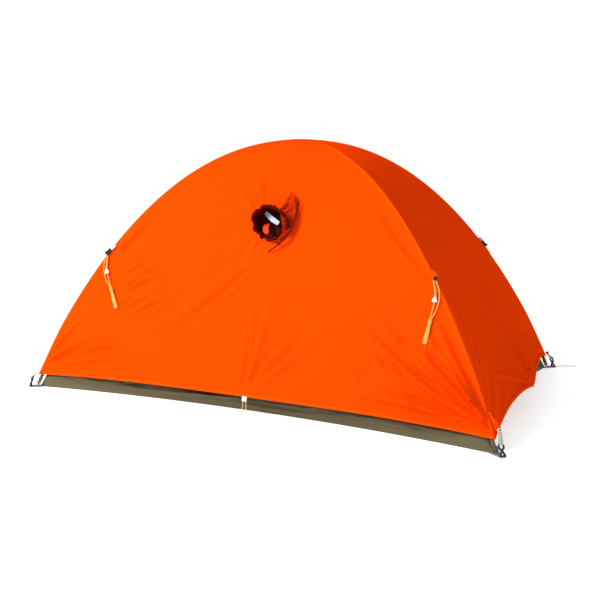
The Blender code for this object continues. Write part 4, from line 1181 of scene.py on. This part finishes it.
def build_peg_loop(name, signs):
    """The cord loop that a peg goes through, laid on the ground past a corner."""
    out, across = corner_frame(signs)
    start = HALF_DIAGONAL - POLE_INSET + TAB_REACH + PEG_LOOP_RADIUS + GAP
    rest = UP * (PEG_LOOP_RADIUS + GAP)
    loop = [(0.000, 0.005), (0.030, 0.010), (0.065, 0.012), (0.090, 0.008), (0.100, 0.0)]
    sides = [(a, b) for a, b in loop] + [(a, -b) for a, b in reversed(loop[:-1])]
    line = smooth_route([out * (start + a) + across * b + rest for a, b in sides], 0.002)
    piece = cord_piece(f"peg_cord_{name}", line, PEG_LOOP_RADIUS, "pale_cord", "tent",
                       [f"peg_loop_{name}"])


def build_hem_loop():
    """The doubled cord from the middle of the front hem to the ground."""
    hem = FLY.at("front", 0.0, FLY_HEM)
    ground = HEM_LOOP_RADIUS + GAP
    side = [(-0.0055, 0.002, FLY_HEM - HEM_LOOP_RADIUS - GAP), (-0.007, -0.003, 0.055),
            (-0.0085, -0.006, 0.025), (-0.0085, -0.009, 0.006), (-0.007, -0.013, ground)]
    back = [(-x, y, z) for x, y, z in reversed(side)]
    route = [Vector((hem.x + 0.010 + x, hem.y + y, z)) for x, y, z in side + [(0.0, -0.018, ground)] + back]
    line = smooth_route(route, 0.002)
    piece = cord_piece("hem_cord", line, HEM_LOOP_RADIUS, "peg_cord", "tent", ["hem_loop_front"])
    tab = [(0.0020, 0.004), (-0.0015, -0.003), (-0.0032, -0.012), (-0.0028, -0.019)]
    strip = smooth_route([Vector((hem.x + 0.010, hem.y + y, FLY_HEM + z)) for y, z in tab], 0.0012)
    mesh = band_mesh("hem_tab", strip, (1, 0, 0), 0.021, 0.0020)
    new_piece("hem_tab", mesh, "white_tape", "tent")


def vent_frame():
    """The vent's middle on the wall, and the directions up the wall and out of it."""
    centre = FLY.at("front", 0.0, VENT_Z)
    rise = (FLY.at("front", 0.0, VENT_Z + 0.03) - FLY.at("front", 0.0, VENT_Z - 0.03)).normalized()
    return centre, rise, Vector((1, 0, 0)).cross(rise)


def vent_point(x, up, out):
    centre, rise, normal = vent_frame()
    return centre + Vector((x, 0, 0)) + rise * up + normal * out


def build_drawcord():
    """The vent's drawcord, hanging at its right, with a knot at its end."""
    tail = [(0.128, 0.090, 0.010), (0.127, 0.050, 0.018), (0.125, 0.010, 0.025), (0.117, -0.030, 0.029),
            (0.100, -0.068, 0.029), (0.064, -0.102, 0.022), (0.024, -0.128, 0.010)]
    line = smooth_route([vent_point(*point) for point in tail], 0.002)
    piece = cord_piece("vent_cord", line, VENT_CORD_RADIUS, "red_cord", "tent", ["vent_drawcord"])
    end = Vector(line[-1])
    back = (Vector(line[-4]) - end).normalized()
    knot = fused("vent_cord_knot", [
        tube_mesh("k", [end + back * (0.010 - 0.0035 * t) + any_side(back) * 0.0016 * math.cos(a)
                        + back.cross(any_side(back)) * 0.0016 * math.sin(a)
                        for t, a in ((i / 12, i * 0.75) for i in range(28))], 0.0014, 8)], 0.0006, 2)
    knot_piece = new_piece("vent_cord_knot", knot, "red_cord", "tent")


def guy_place(name, signs):
    """The guy line's start, and the directions across it, down it and out of the wall."""
    distance, z = (float(value) for value in FLY.edge(np.array(GUY_SHARE)))
    top_x = distance * DIAGONAL.x - 0.004
    drop = 0.94 * (GUY_LOOP + GUY_HANK)
    top = front_surface(top_x, z)
    foot = front_surface(top_x - GUY_LEAN[name], z - drop)
    beside = front_surface(top_x - 0.05, z - drop / 2)
    to_side = Matrix.Diagonal((signs[0], -signs[1], 1))
    down = (foot - top).normalized()
    normal = down.cross(beside - (top + foot) / 2).normalized()
    if normal.y > 0:
        normal.negate()
    across = to_side @ down.cross(normal)
    down, normal = to_side @ down, to_side @ normal
    return to_side @ top + normal * GUY_STAND_OFF, across, down, normal


def front_surface(x, z):
    """The outer face of the front wall, without the thin space that its cloth leaves at the seams."""
    share = share_at(z, 0.0)
    distance = float(FLY.edge(share)[0])
    u = x / (distance * DIAGONAL.x)
    return Vector((x, -(distance * DIAGONAL.y - float(FLY.sag(share, DIAGONAL.y)) * (1 - u * u)), z))


def hank_turns(spot):
    """The turns of the hank below the knot: two narrow ones, then two wide ones, in two layers."""
    route = []
    end = GUY_LOOP + GUY_HANK
    for k in range(HANK_TURNS):
        wide = 0.0021 if k < 2 else 0.0063
        neck = 0.0016 if k < 2 else 0.0036
        layer = 0.0021 if k % 2 else -0.0021
        low = end - (0.0045 if k < 2 else 0.0020)
        length = low - GUY_LOOP
        left = [(-neck, 0.02), (-neck, 0.14), (-neck - (wide - neck) * 0.3, 0.34),
                (-neck - (wide - neck) * 0.7, 0.58), (-wide, 0.78), (-wide, 0.91), (-wide * 0.6, 0.985)]
        loop = left + [(0.0, 1.0)] + [(-x, share) for x, share in reversed(left)]
        for x, share in loop:
            lean = KNOT_SIDE * (1 - share)
            route.append(spot(x + lean, GUY_LOOP + share * length, layer))
        if k < HANK_TURNS - 1:
            route.append(spot(KNOT_SIDE, GUY_LOOP - 0.003, layer * 0.3))
    return route


def guy_knot(name, spot):
    """The turns of cord wound round the top of the hank."""
    wraps = []
    for i in range(61):
        angle = 2 * math.pi * 3.4 * i / 60
        wraps.append(spot(KNOT_SIDE + 0.0062 * math.cos(angle), GUY_LOOP - 0.006 + 0.0125 * i / 60,
                          0.0056 * math.sin(angle)))
    return new_piece(f"guy_knot_{name}", tube_mesh("guy_knot", wraps, GUY_LINE / 2 * 0.95, 9), "guy_cord",
                     f"guy_line_{name}")


def build_guy(name, signs):
    """A guy line: doubled down to its tensioner, knotted lower down, and wound up below in a small hank."""
    origin, across, down, normal = guy_place(name, signs)

    def spot(side, depth, out=0.0):
        return origin + across * side + down * depth + normal * out

    radius = GUY_LINE / 2
    tensioner = spot(*TENSIONER_SPOT)
    first = [(0.0020, 0.004, 0.0022), (-0.004, 0.024, 0.0022), (-0.0095, 0.046, 0.0026),
             (-0.0125, 0.064, 0.0030)]
    back = [(-0.0168, 0.063, 0.0020), (-0.0135, 0.046, 0.0004), (-0.0075, 0.024, -0.0008),
            (-0.0010, 0.004, -0.0016)]
    outer = [(-0.0062, 0.002, -0.0018), (-0.0150, 0.018, -0.0016), (-0.0255, 0.040, -0.0012),
             (-0.0300, 0.066, -0.0006), (-0.0290, 0.092, 0.0), (-0.0225, 0.122, 0.0004),
             (-0.0135, 0.146, 0.0006), (-0.0102, GUY_LOOP - 0.002, 0.0006)]
    route = [spot(*point) for point in first + back + outer]
    route += hank_turns(spot)
    inner = [(KNOT_SIDE + 0.0030, GUY_LOOP - 0.003, 0.0020), (-0.0085, 0.142, 0.0024),
             (-0.0110, 0.118, 0.0028), (-0.0130, 0.098, 0.0030), (-0.0140, 0.086, 0.0030)]
    route += [spot(*point) for point in inner]
    line = smooth_route(route, 0.0018)
    piece = cord_piece(f"guy_cord_{name}", line, radius, "guy_cord", f"guy_line_{name}",
                       [f"guy_line_{name}"], sides=9)

    knot = guy_knot(name, spot)
    build_tensioner(name, tensioner, across, down)
    build_tie_out(name, signs, normal)


def build_tensioner(name, place, across, down):
    """A flat triangular line tensioner: a rim with bars across it."""
    size = TENSIONER_SIZE

    def corner(x, y):
        return place + across * (x * size) + down * (y * size)

    rim = [corner(-0.16, -0.5), corner(0.16, -0.5), corner(0.50, 0.40), corner(0.38, 0.5),
           corner(-0.38, 0.5), corner(-0.50, 0.40)]
    outline = smooth_route([*rim, rim[0]], 0.0012)
    bars = [tube_mesh("rim", outline, 0.0024, 10),
            tube_mesh("bar", [corner(-0.32, 0.10), corner(0.32, 0.10)], 0.0024, 10),
            tube_mesh("bar", [corner(-0.16, -0.28), corner(0.16, -0.28)], 0.0024, 10),
            tube_mesh("bar", [corner(0.0, 0.06), corner(0.0, 0.46)], 0.0020, 10)]
    mesh = fused(f"tensioner_{name}", bars, 0.0006, 3)
    new_piece(f"tensioner_{name}", mesh, "white", f"guy_tensioner_{name}",
              [f"guy_tensioner_{name}"])


def build_tie_out(name, signs, normal):
    """The tab sewn along the seam, with the webbing loop that the guy line hangs from."""
    lower = float(FLY.edge(np.array(GUY_SHARE))[0]), float(FLY.edge(np.array(GUY_SHARE))[1])
    upper = float(FLY.edge(np.array(GUY_SHARE - 0.05))[0]), float(FLY.edge(np.array(GUY_SHARE - 0.05))[1])
    to_corner = Vector((DIAGONAL.x * signs[0], DIAGONAL.y * signs[1], 0))
    climb = (to_corner * (upper[0] - lower[0]) + UP * (upper[1] - lower[1])).normalized()
    face = (normal * 0.8 + to_corner * 0.5).normalized()
    face = (face - climb * face.dot(climb)).normalized()
    base = to_corner * lower[0] + UP * lower[1]

    def at(along, out):
        return base + climb * along + face * out

    side = climb.cross(face)
    hidden = name == "front_right"
    reach = 0.014 if hidden else 0.033
    loop = smooth_route([at(reach, 0.0025), at(0.010, 0.0040), at(0.002, 0.0075), at(-0.002, 0.0105),
                         at(0.001, 0.0125), at(0.006, 0.0105), at(0.014, 0.0068), at(reach, 0.0052)], 0.0012)
    new_piece(f"tie_loop_{name}", band_mesh("tie_loop", loop, side, 0.0150 if hidden else 0.0215, 0.0013),
              "black_tape", "tent")
    tab = smooth_route([at(0.054, 0.0030), at(0.046, 0.0062), at(0.038, 0.0070), at(0.030, 0.0064)], 0.0012)
    if hidden:
        tab = smooth_route([at(0.040, 0.0026), at(0.030, 0.0044), at(0.020, 0.0060),
                            at(0.011, 0.0072)], 0.0012)
    new_piece(f"tie_tab_{name}", band_mesh("tie_tab", tab, side, 0.0245, 0.0022),
              "fly_sewn" if hidden else "white_tape", "tent")


# ---------------------------------------------------------------- corners

def build_corner(name, signs):
    """A corner's hook, webbing and strap, with the strap's eyelet."""
    out, across = corner_frame(signs)
    foot = HALF_DIAGONAL - POLE_INSET
    turn = Matrix.Rotation(math.radians(-22 * signs[0] * -signs[1]), 3, "Z")
    facing, side = turn @ out, turn @ across
    hook_base = out * (foot + HOOK_OUT) + UP * (TAB_THICKNESS + HOOK_THICKNESS / 2 + GAP)
    hook_up = (UP - out * HOOK_LEAN).normalized()
    build_hook(name, hook_base, side, hook_up)
    build_tab(name, out, across, foot)

    ring = hook_base + hook_up * (HOOK_HEIGHT - 0.0045)
    if name == "front_right":
        top = out * 1.2037 + UP * 0.096
    else:
        top = out * (float(FLY.edge(FLY.hem)[0]) + 0.0035) + UP * (FLY_HEM - CORNER_DROP + 0.012)
    down = (ring - top).normalized()
    face = side.cross(down).normalized()
    if face.dot(facing) < 0:
        face.negate()
    route = [top + face * 0.0004 - down * 0.004, top.lerp(ring, 0.30) + face * 0.0012,
             top.lerp(ring, 0.75) + face * 0.0034, ring + face * 0.0046 - down * 0.001,
             ring + down * 0.0034, ring - face * 0.0036 - down * 0.001,
             top.lerp(ring, 0.75) - face * 0.0010, top.lerp(ring, 0.40) - face * 0.0008]
    mesh = band_mesh("strap", smooth_route(route, 0.0015), side, 0.0165, 0.0013)
    new_piece(f"strap_{name}", mesh, "elastic", "tent", [f"fly_strap_{name}"])

    eyelet = [(0.0052, -0.0012), (0.0060, 0.0010), (0.0078, 0.0021), (0.0098, 0.0016), (0.0112, 0.0),
              (0.0104, -0.0014), (0.0078, -0.0010)]
    place = frame_at(top + UP * 0.003 + facing * 0.0022, side, UP + facing * 0.4)
    if (place.to_3x3() @ Vector((0, 0, 1))).dot(facing) < 0:
        place = place @ Matrix.Rotation(math.pi, 4, "X")
    place = place @ Matrix.Diagonal((1, 0.72, 1, 1))
    new_piece(f"eyelet_{name}", turned_mesh("eyelet", eyelet, place), "eyelet", "tent")
    cap = [(0.0002, 0.0008), (0.0030, 0.0006), (0.0056, 0.0), (0.0056, -0.0014), (0.0002, -0.0014)]
    new_piece(f"eyelet_cap_{name}", turned_mesh("eyelet_cap", cap, place), "cap", "tent")
    if name == "front_right":
        build_gusset(name, signs, top, facing, side)


def build_gusset(name, signs, top, facing, side):
    """The reinforcement of folded cloth between the seam's foot and the strap's eyelet."""
    share = np.array(share_at(0.150, 0.0))
    distance, z = (float(value) for value in FLY.edge(share))
    out = corner_frame(signs)[0]
    high = out * (distance + 0.0022) + UP * z
    rows = []
    for i in range(15):
        t = i / 14
        centre = high.lerp(top, t) + facing * (0.004 * math.sin(math.pi * t))
        wide = 0.002 + 0.0095 * t ** 0.8
        rows.append([centre + side * (wide * s) + facing * (0.0010 * math.cos(s * 9) - 0.002 * s * s)
                     - UP * (0.006 * t ** 3 * (1 - s * s)) for s in np.linspace(-1, 1, 13)])
    points = np.array(rows)
    cloth_map = np.stack([np.tile(np.linspace(-1, 1, 13) * 0.016, (15, 1)),
                          np.tile(np.linspace(0, 0.06, 15)[:, None], (1, 13))], -1)
    mesh = grid_mesh("gusset", points, cloth_map)
    thicken(new_piece(f"gusset_{name}", mesh, "fly_sewn", "tent"), 0.0012, 0.0)


def build_cuff(name, signs):
    """The cloth end of the sleeve, which hides the foot of the pole at a corner."""
    line = pole_line(0 if signs[0] == signs[1] else 1)
    near = line[(line[:, 2] > 0.012) & (line[:, 2] < 0.100) & (line[:, 0] * signs[0] > 0)]
    if near[0, 2] > near[-1, 2]:
        near = near[::-1]
    route = smooth_route([Vector(point) for point in near], 0.004)
    radii = [0.0076 + 0.0006 * math.sin(i * 1.3) for i in range(len(route))]
    new_piece(f"cuff_{name}", tube_mesh("cuff", route, radii, 14), "tub", "tent")


def build_hook(name, base, across, up):
    """A moulded hook: two crossing bars between a foot bar and an open ring at the top."""
    def at(x, y):
        return base + across * x + up * y

    r = 0.0044
    ring = [at(0.0096 * math.cos(a), 0.0360 + 0.0098 * math.sin(a))
            for a in (math.radians(-40 + 250 * i / 24) for i in range(25))]
    bars = [tube_mesh("ring", ring, r * 0.85, 10)]
    for side in (-1, 1):
        leg = smooth_route([at(side * 0.0088, 0.0305), at(side * 0.0040, 0.0240), at(-side * 0.0036, 0.0140),
                            at(-side * 0.0104, 0.0030)], 0.001)
        bars.append(tube_mesh("leg", leg, r, 10))
        toe = smooth_route([at(-side * 0.0104, 0.0036), at(-side * 0.0112, -0.0002),
                            at(-side * 0.0046, -0.0006)], 0.001)
        bars.append(tube_mesh("toe", toe, r * 0.8, 10))
    mesh = fused(f"hook_{name}", bars, 0.0006, 3)
    new_piece(f"hook_{name}", mesh, "black", f"corner_hook_{name}", [f"corner_hook_{name}"])


def build_tab(name, out, across, foot):
    """The webbing at a corner: folded back on the ground, with the pole tip's eyelet, and two side tapes."""
    thick = 0.0010

    def at(reach, side, z):
        return out * (foot + reach) + across * side + UP * z

    start = POLE_INSET - INNER_INSET + 0.001
    lower = [at(start, 0, thick / 2), at(0.0, 0, thick / 2), at(0.020, 0, thick / 2),
             at(0.036, 0, thick / 2), at(0.0392, 0, thick * 1.1), at(0.036, 0, thick * 1.75),
             at(0.024, 0, thick * 1.75), at(0.012, 0, thick * 1.7)]
    tapes = [band_mesh("tab", smooth_route(lower, 0.0015), across, 2 * TAB_HALF_WIDTH, thick)]
    for side in (-1, 1):
        rise = [at(-0.016, side * 0.0132, 0.026), at(-0.012, side * 0.0134, 0.019),
                at(-0.008, side * 0.0132, 0.010), at(-0.001, side * 0.0125, 0.0036),
                at(0.012, side * 0.0108, 0.0026), at(0.026, side * 0.0090, 0.0024)]
        wide = across + out * (0.6 * side)
        tapes.append(band_mesh("tape", smooth_route(rise, 0.0015), wide, 0.011, 0.0012))
    new_piece(f"tab_{name}", joined(f"tab_{name}", tapes), "grey_tape", "tent",
              [f"corner_tab_{name}"])
    eyelet = [(0.0034, 0.0), (0.0040, 0.0011), (0.0056, 0.0014), (0.0070, 0.0006), (0.0066, -0.0001)]
    place = Matrix.Translation(at(0, 0, thick))
    new_piece(f"tab_eyelet_{name}", turned_mesh("tab_eyelet", eyelet, place), "eyelet", "tent")


# ---------------------------------------------------------------- the vent

def crumple(spot, size, scale):
    """How far crumpled cloth stands off at a point."""
    spot = Vector(spot) * scale
    rough = noise.noise(spot) + 0.6 * noise.noise(spot * 2.1 + Vector((3.1, 1.7, 9.2)))
    return size * (1 - 2.2 * abs(rough))


def build_vent():
    """The vent: a short crumpled sleeve with a rolled rim, and the loose cloth beside and inside it."""
    spokes, rows, roll = 128, 40, 12
    bend = [(0.018, -0.006, 0.000), (0.018, -0.007, 0.014), (0.021, -0.012, 0.030), (0.024, -0.020, 0.045)]
    line = smooth_route([vent_point(*point) for point in bend], 0.0012)
    line = line[np.linspace(0, len(line) - 1, rows).round().astype(int)]
    _, rise, normal = vent_frame()
    sides, other = line_frames(line, (1.0, 0.0, 0.0))
    turn = np.linspace(0, 2 * np.pi, spokes, endpoint=False)
    points = []
    for j in range(rows):
        t = j / (rows - 1)
        radius = 0.053 + 0.006 * math.sin(math.pi * t) + 0.010 * t
        ring = []
        for angle in turn:
            side = math.cos(angle) * sides[j] + math.sin(angle) * other[j]
            wave = (math.sin(7 * angle + 2.2 * t + 1.3 * math.sin(2 * angle))
                    + 0.6 * math.sin(13 * angle - 3.0 * t) + 0.3 * math.sin(23 * angle + 5 * t))
            spot = line[j] + side * radius * (1 + 0.10 * t * math.cos(angle - 0.6))
            rough = crumple(spot, 0.0052 * t, 38.0)
            ring.append(spot + side * (0.0016 * wave * (0.15 + t) + rough)
                        + np.array(normal) * (crumple(spot * 1.3, 0.006 * t, 30.0)))
        points.append(ring)
    last = np.array(points[-1])
    centre = last.mean(axis=0)
    ahead = (line[-1] - line[-3]) / np.linalg.norm(line[-1] - line[-3])
    outward = (last - centre) / np.linalg.norm(last - centre, axis=1, keepdims=True)
    lip = 0.0050 * (1 + 0.25 * np.sin(5 * turn + 1.0) + 0.20 * np.sin(11 * turn))[:, None]
    for k in range(1, roll + 1):
        a = math.radians(310 * k / roll)
        points.append(last + outward * lip * (1 - math.cos(a)) + ahead[None, :] * lip * math.sin(a))
    points = np.array(points)
    around = np.tile(turn * VENT_RADIUS, (len(points), 1))
    up = np.tile(np.arange(len(points))[:, None] * 0.0014, (1, spokes))
    mesh = grid_mesh("vent_tunnel", points, np.stack([around, up], -1), ring=True)
    # Its paint is the fly's orange darkened into painted shade.
    piece = new_piece("vent_tunnel", mesh, "vent", "tent", ["vent_sleeve"])
    thicken(piece, 0.0008)
    build_vent_ear()
    build_vent_inside()


def build_vent_ear():
    """The loose cloth at the vent's right, drawn out to a point where the drawcord starts."""
    rim = [(0.052, 0.046, 0.030), (0.062, 0.030, 0.036), (0.074, 0.006, 0.038), (0.084, -0.022, 0.040),
           (0.086, -0.050, 0.038), (0.072, -0.076, 0.034), (0.048, -0.092, 0.028)]
    edge = [(0.088, 0.126, 0.006), (0.106, 0.104, 0.008), (0.118, 0.062, 0.011), (0.124, 0.030, 0.015),
            (0.118, -0.016, 0.019), (0.104, -0.064, 0.021), (0.068, -0.100, 0.015)]
    inner = smooth_route([vent_point(*point) for point in rim], 0.0010)
    outer = smooth_route([vent_point(*point) for point in edge], 0.0010)
    count, steps = 120, 44
    inner, outer = (line[np.linspace(0, len(line) - 1, count).round().astype(int)]
                    for line in (inner, outer))
    normal = np.array(vent_frame()[2])
    rows = []
    for j in range(steps + 1):
        t = j / steps
        row = inner * (1 - t) + outer * t
        share = np.linspace(0, 1, count)
        wave = np.sin(share * 21 + 3.0 * t + 2.0 * np.sin(share * 7)) + 0.6 * np.sin(share * 47 - 4 * t)
        puff = 0.0035 * wave * math.sin(math.pi * min(1.0, 0.15 + 0.8 * t))
        rough = np.array([crumple(spot, 0.0042, 46.0) for spot in row]) * math.sin(math.pi * (0.1 + 0.8 * t))
        sag = -0.006 * math.sin(math.pi * t)
        rows.append(row + normal[None, :] * (puff + rough + sag)[:, None])
    for k in range(1, 9):
        a = math.radians(300 * k / 8)
        away = (outer - inner) / np.linalg.norm(outer - inner, axis=1, keepdims=True)
        rows.append(rows[steps] + away * 0.0032 * math.sin(a) + normal[None, :] * 0.0032 * (1 - math.cos(a)))
    points = np.array(rows)
    cloth_map = np.stack([np.tile(np.arange(count) * 0.0016, (len(points), 1)),
                          np.tile(np.arange(len(points))[:, None] * 0.0016, (1, count))], -1)
    mesh = grid_mesh("vent_ear", points, cloth_map)
    # Its paint is the fly's orange dimmed as painted part shade.
    thicken(new_piece("vent_ear", mesh, "ear", "tent"), 0.0007, 0.0)


def build_vent_inside():
    """What shows in the vent's mouth: a dark sheet that is painted shade, a pale strip across it and a fold
    of the fly's cloth in darkened orange, also painted shade.
    """
    # The dark sheet across the mouth is painted shade.
    rings, spokes = 14, 72
    turn = np.linspace(0, 2 * np.pi, spokes, endpoint=False)
    points = []
    for j in range(rings + 1):
        r = 0.054 * (j + 0.02) / rings
        ring = [vent_point(VENT_MOUTH[0] + r * math.cos(a), VENT_MOUTH[1] + r * math.sin(a),
                           0.003 + 0.004 * math.sin(r * 160 + 2 * a)) for a in turn]
        points.append([spot + vent_frame()[2] * crumple(spot, 0.003, 40.0) for spot in ring])
    cloth_map = np.zeros((rings + 1, spokes, 2))
    cloth_map[..., 0] = turn * 0.05
    cloth_map[..., 1] = np.arange(rings + 1)[:, None] * 0.004
    mesh = grid_mesh("vent_mouth_shade_sheet", np.array(points), cloth_map, ring=True)
    mesh.flip_normals()
    thicken(new_piece("vent_mouth_shade_sheet", mesh, "mouth_shade", "tent"), 0.0008, 0.0)

    strip = smooth_route([vent_point(-0.008, 0.033, 0.026), vent_point(0.012, 0.018, 0.034),
                          vent_point(0.036, 0.001, 0.037), vent_point(0.062, -0.013, 0.033)], 0.0015)
    wide = np.interp(np.linspace(0, 1, len(strip)), [0, 0.15, 0.7, 1], [0.011, 0.017, 0.021, 0.017])
    mesh = band_mesh("vent_strip", strip, vent_frame()[1] * 0.8 + Vector((0.6, 0, 0)), wide, 0.0014, 0.003)
    new_piece("vent_strip", mesh, "pale", "tent", ["vent_mesh"])

    tongue = smooth_route([vent_point(0.014, -0.010, 0.022), vent_point(0.011, -0.026, 0.038),
                           vent_point(0.013, -0.044, 0.042), vent_point(0.019, -0.060, 0.036)], 0.0015)
    wide = np.interp(np.linspace(0, 1, len(tongue)), [0, 0.3, 0.8, 1], [0.010, 0.024, 0.026, 0.014])
    # The tongue's paint is the fly's orange darkened as painted shade.
    mesh = band_mesh("vent_tongue", tongue, (1, 0, 0.15), wide, 0.0014, 0.005)
    new_piece("vent_tongue", mesh, "tongue", "tent")


def build_stage():
    """A plain pale floor, lit a little from within so that shadows on it stay soft."""
    bpy.ops.mesh.primitive_plane_add(size=60, location=(0, 0, -0.0005))
    floor = bpy.context.object
    floor.name = "floor"
    paint = Paint("floor", (0.84, 0.84, 0.84), 0.9, Specular_IOR_Level=0.1, Emission_Strength=0.60)
    paint.shader.inputs["Emission Color"].default_value = (1, 1, 1, 1)
    paint.tint(paint.noise("space", 0.7, 2.0), (0.80, 0.80, 0.80), 0.3)
    floor.data.materials.append(paint.material)


# ---------------------------------------------------------------- camera and light

def build_camera():
    """Seen from the front, right of the middle, from about 1.26 m up."""
    camera = bpy.data.objects.new("camera", bpy.data.cameras.new("camera"))
    bpy.context.scene.collection.objects.link(camera)
    camera.location = (1.6045, -3.7433, 1.2567)
    camera.rotation_euler = (math.pi / 2 - 0.2158, 0, 0.4062)
    camera.data.sensor_width = 36
    camera.data.lens = 54.73
    bpy.context.scene.camera = camera


def area_light(name, place, target, size, power):
    light = bpy.data.lights.new(name, "AREA")
    light.size = size
    light.energy = power
    obj = bpy.data.objects.new(name, light)
    bpy.context.scene.collection.objects.link(obj)
    obj.location = place
    obj.rotation_euler = (Vector(target) - Vector(place)).to_track_quat("-Z", "Y").to_euler()


def build_light():
    """Soft light from all round, whiter where the camera sees it, and a large key from the front left."""
    world = bpy.data.worlds.new("studio")
    world.use_nodes = True
    tree = world.node_tree
    background = tree.nodes["Background"]
    background.inputs["Color"].default_value = (1, 1, 1, 1)
    seen = tree.nodes.new("ShaderNodeLightPath")
    level = tree.nodes.new("ShaderNodeMath")
    level.operation = "MULTIPLY_ADD"
    level.inputs[1].default_value = 0.55
    level.inputs[2].default_value = 0.50
    tree.links.new(seen.outputs["Is Camera Ray"], level.inputs[0])
    tree.links.new(level.outputs[0], background.inputs["Strength"])
    bpy.context.scene.world = world
    area_light("key", (-3.4, -4.4, 4.6), (0, 0, 0.4), 2.4, 600)
    bpy.context.scene.view_settings.view_transform = "Standard"


build_camera()
build_light()
build_stage()
for corner, corner_signs in CORNERS.items():
    build_guy(corner, corner_signs)
    build_peg_loop(corner, corner_signs)
build_hem_loop()
build_drawcord()
build_fly()
build_inner()
build_tub()
build_sleeves()
for corner, corner_signs in CORNERS.items():
    build_corner(corner, corner_signs)
    build_cuff(corner, corner_signs)
build_vent()

for node, paint_name in {
    "pole_a_shock_cord": "rubber", "pole_b_shock_cord": "rubber",
    "fly_zip_slider": "black", "fly_zip_pull": "black", "inner_zip_slider": "black",
}.items():
    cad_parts[node].data.materials.clear()
    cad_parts[node].data.materials.append(PAINTS[paint_name])
for node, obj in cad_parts.items():
    if node.startswith("pole_") and "cord" not in node:
        obj.data.materials.clear()
        obj.data.materials.append(PAINTS["aluminium"])
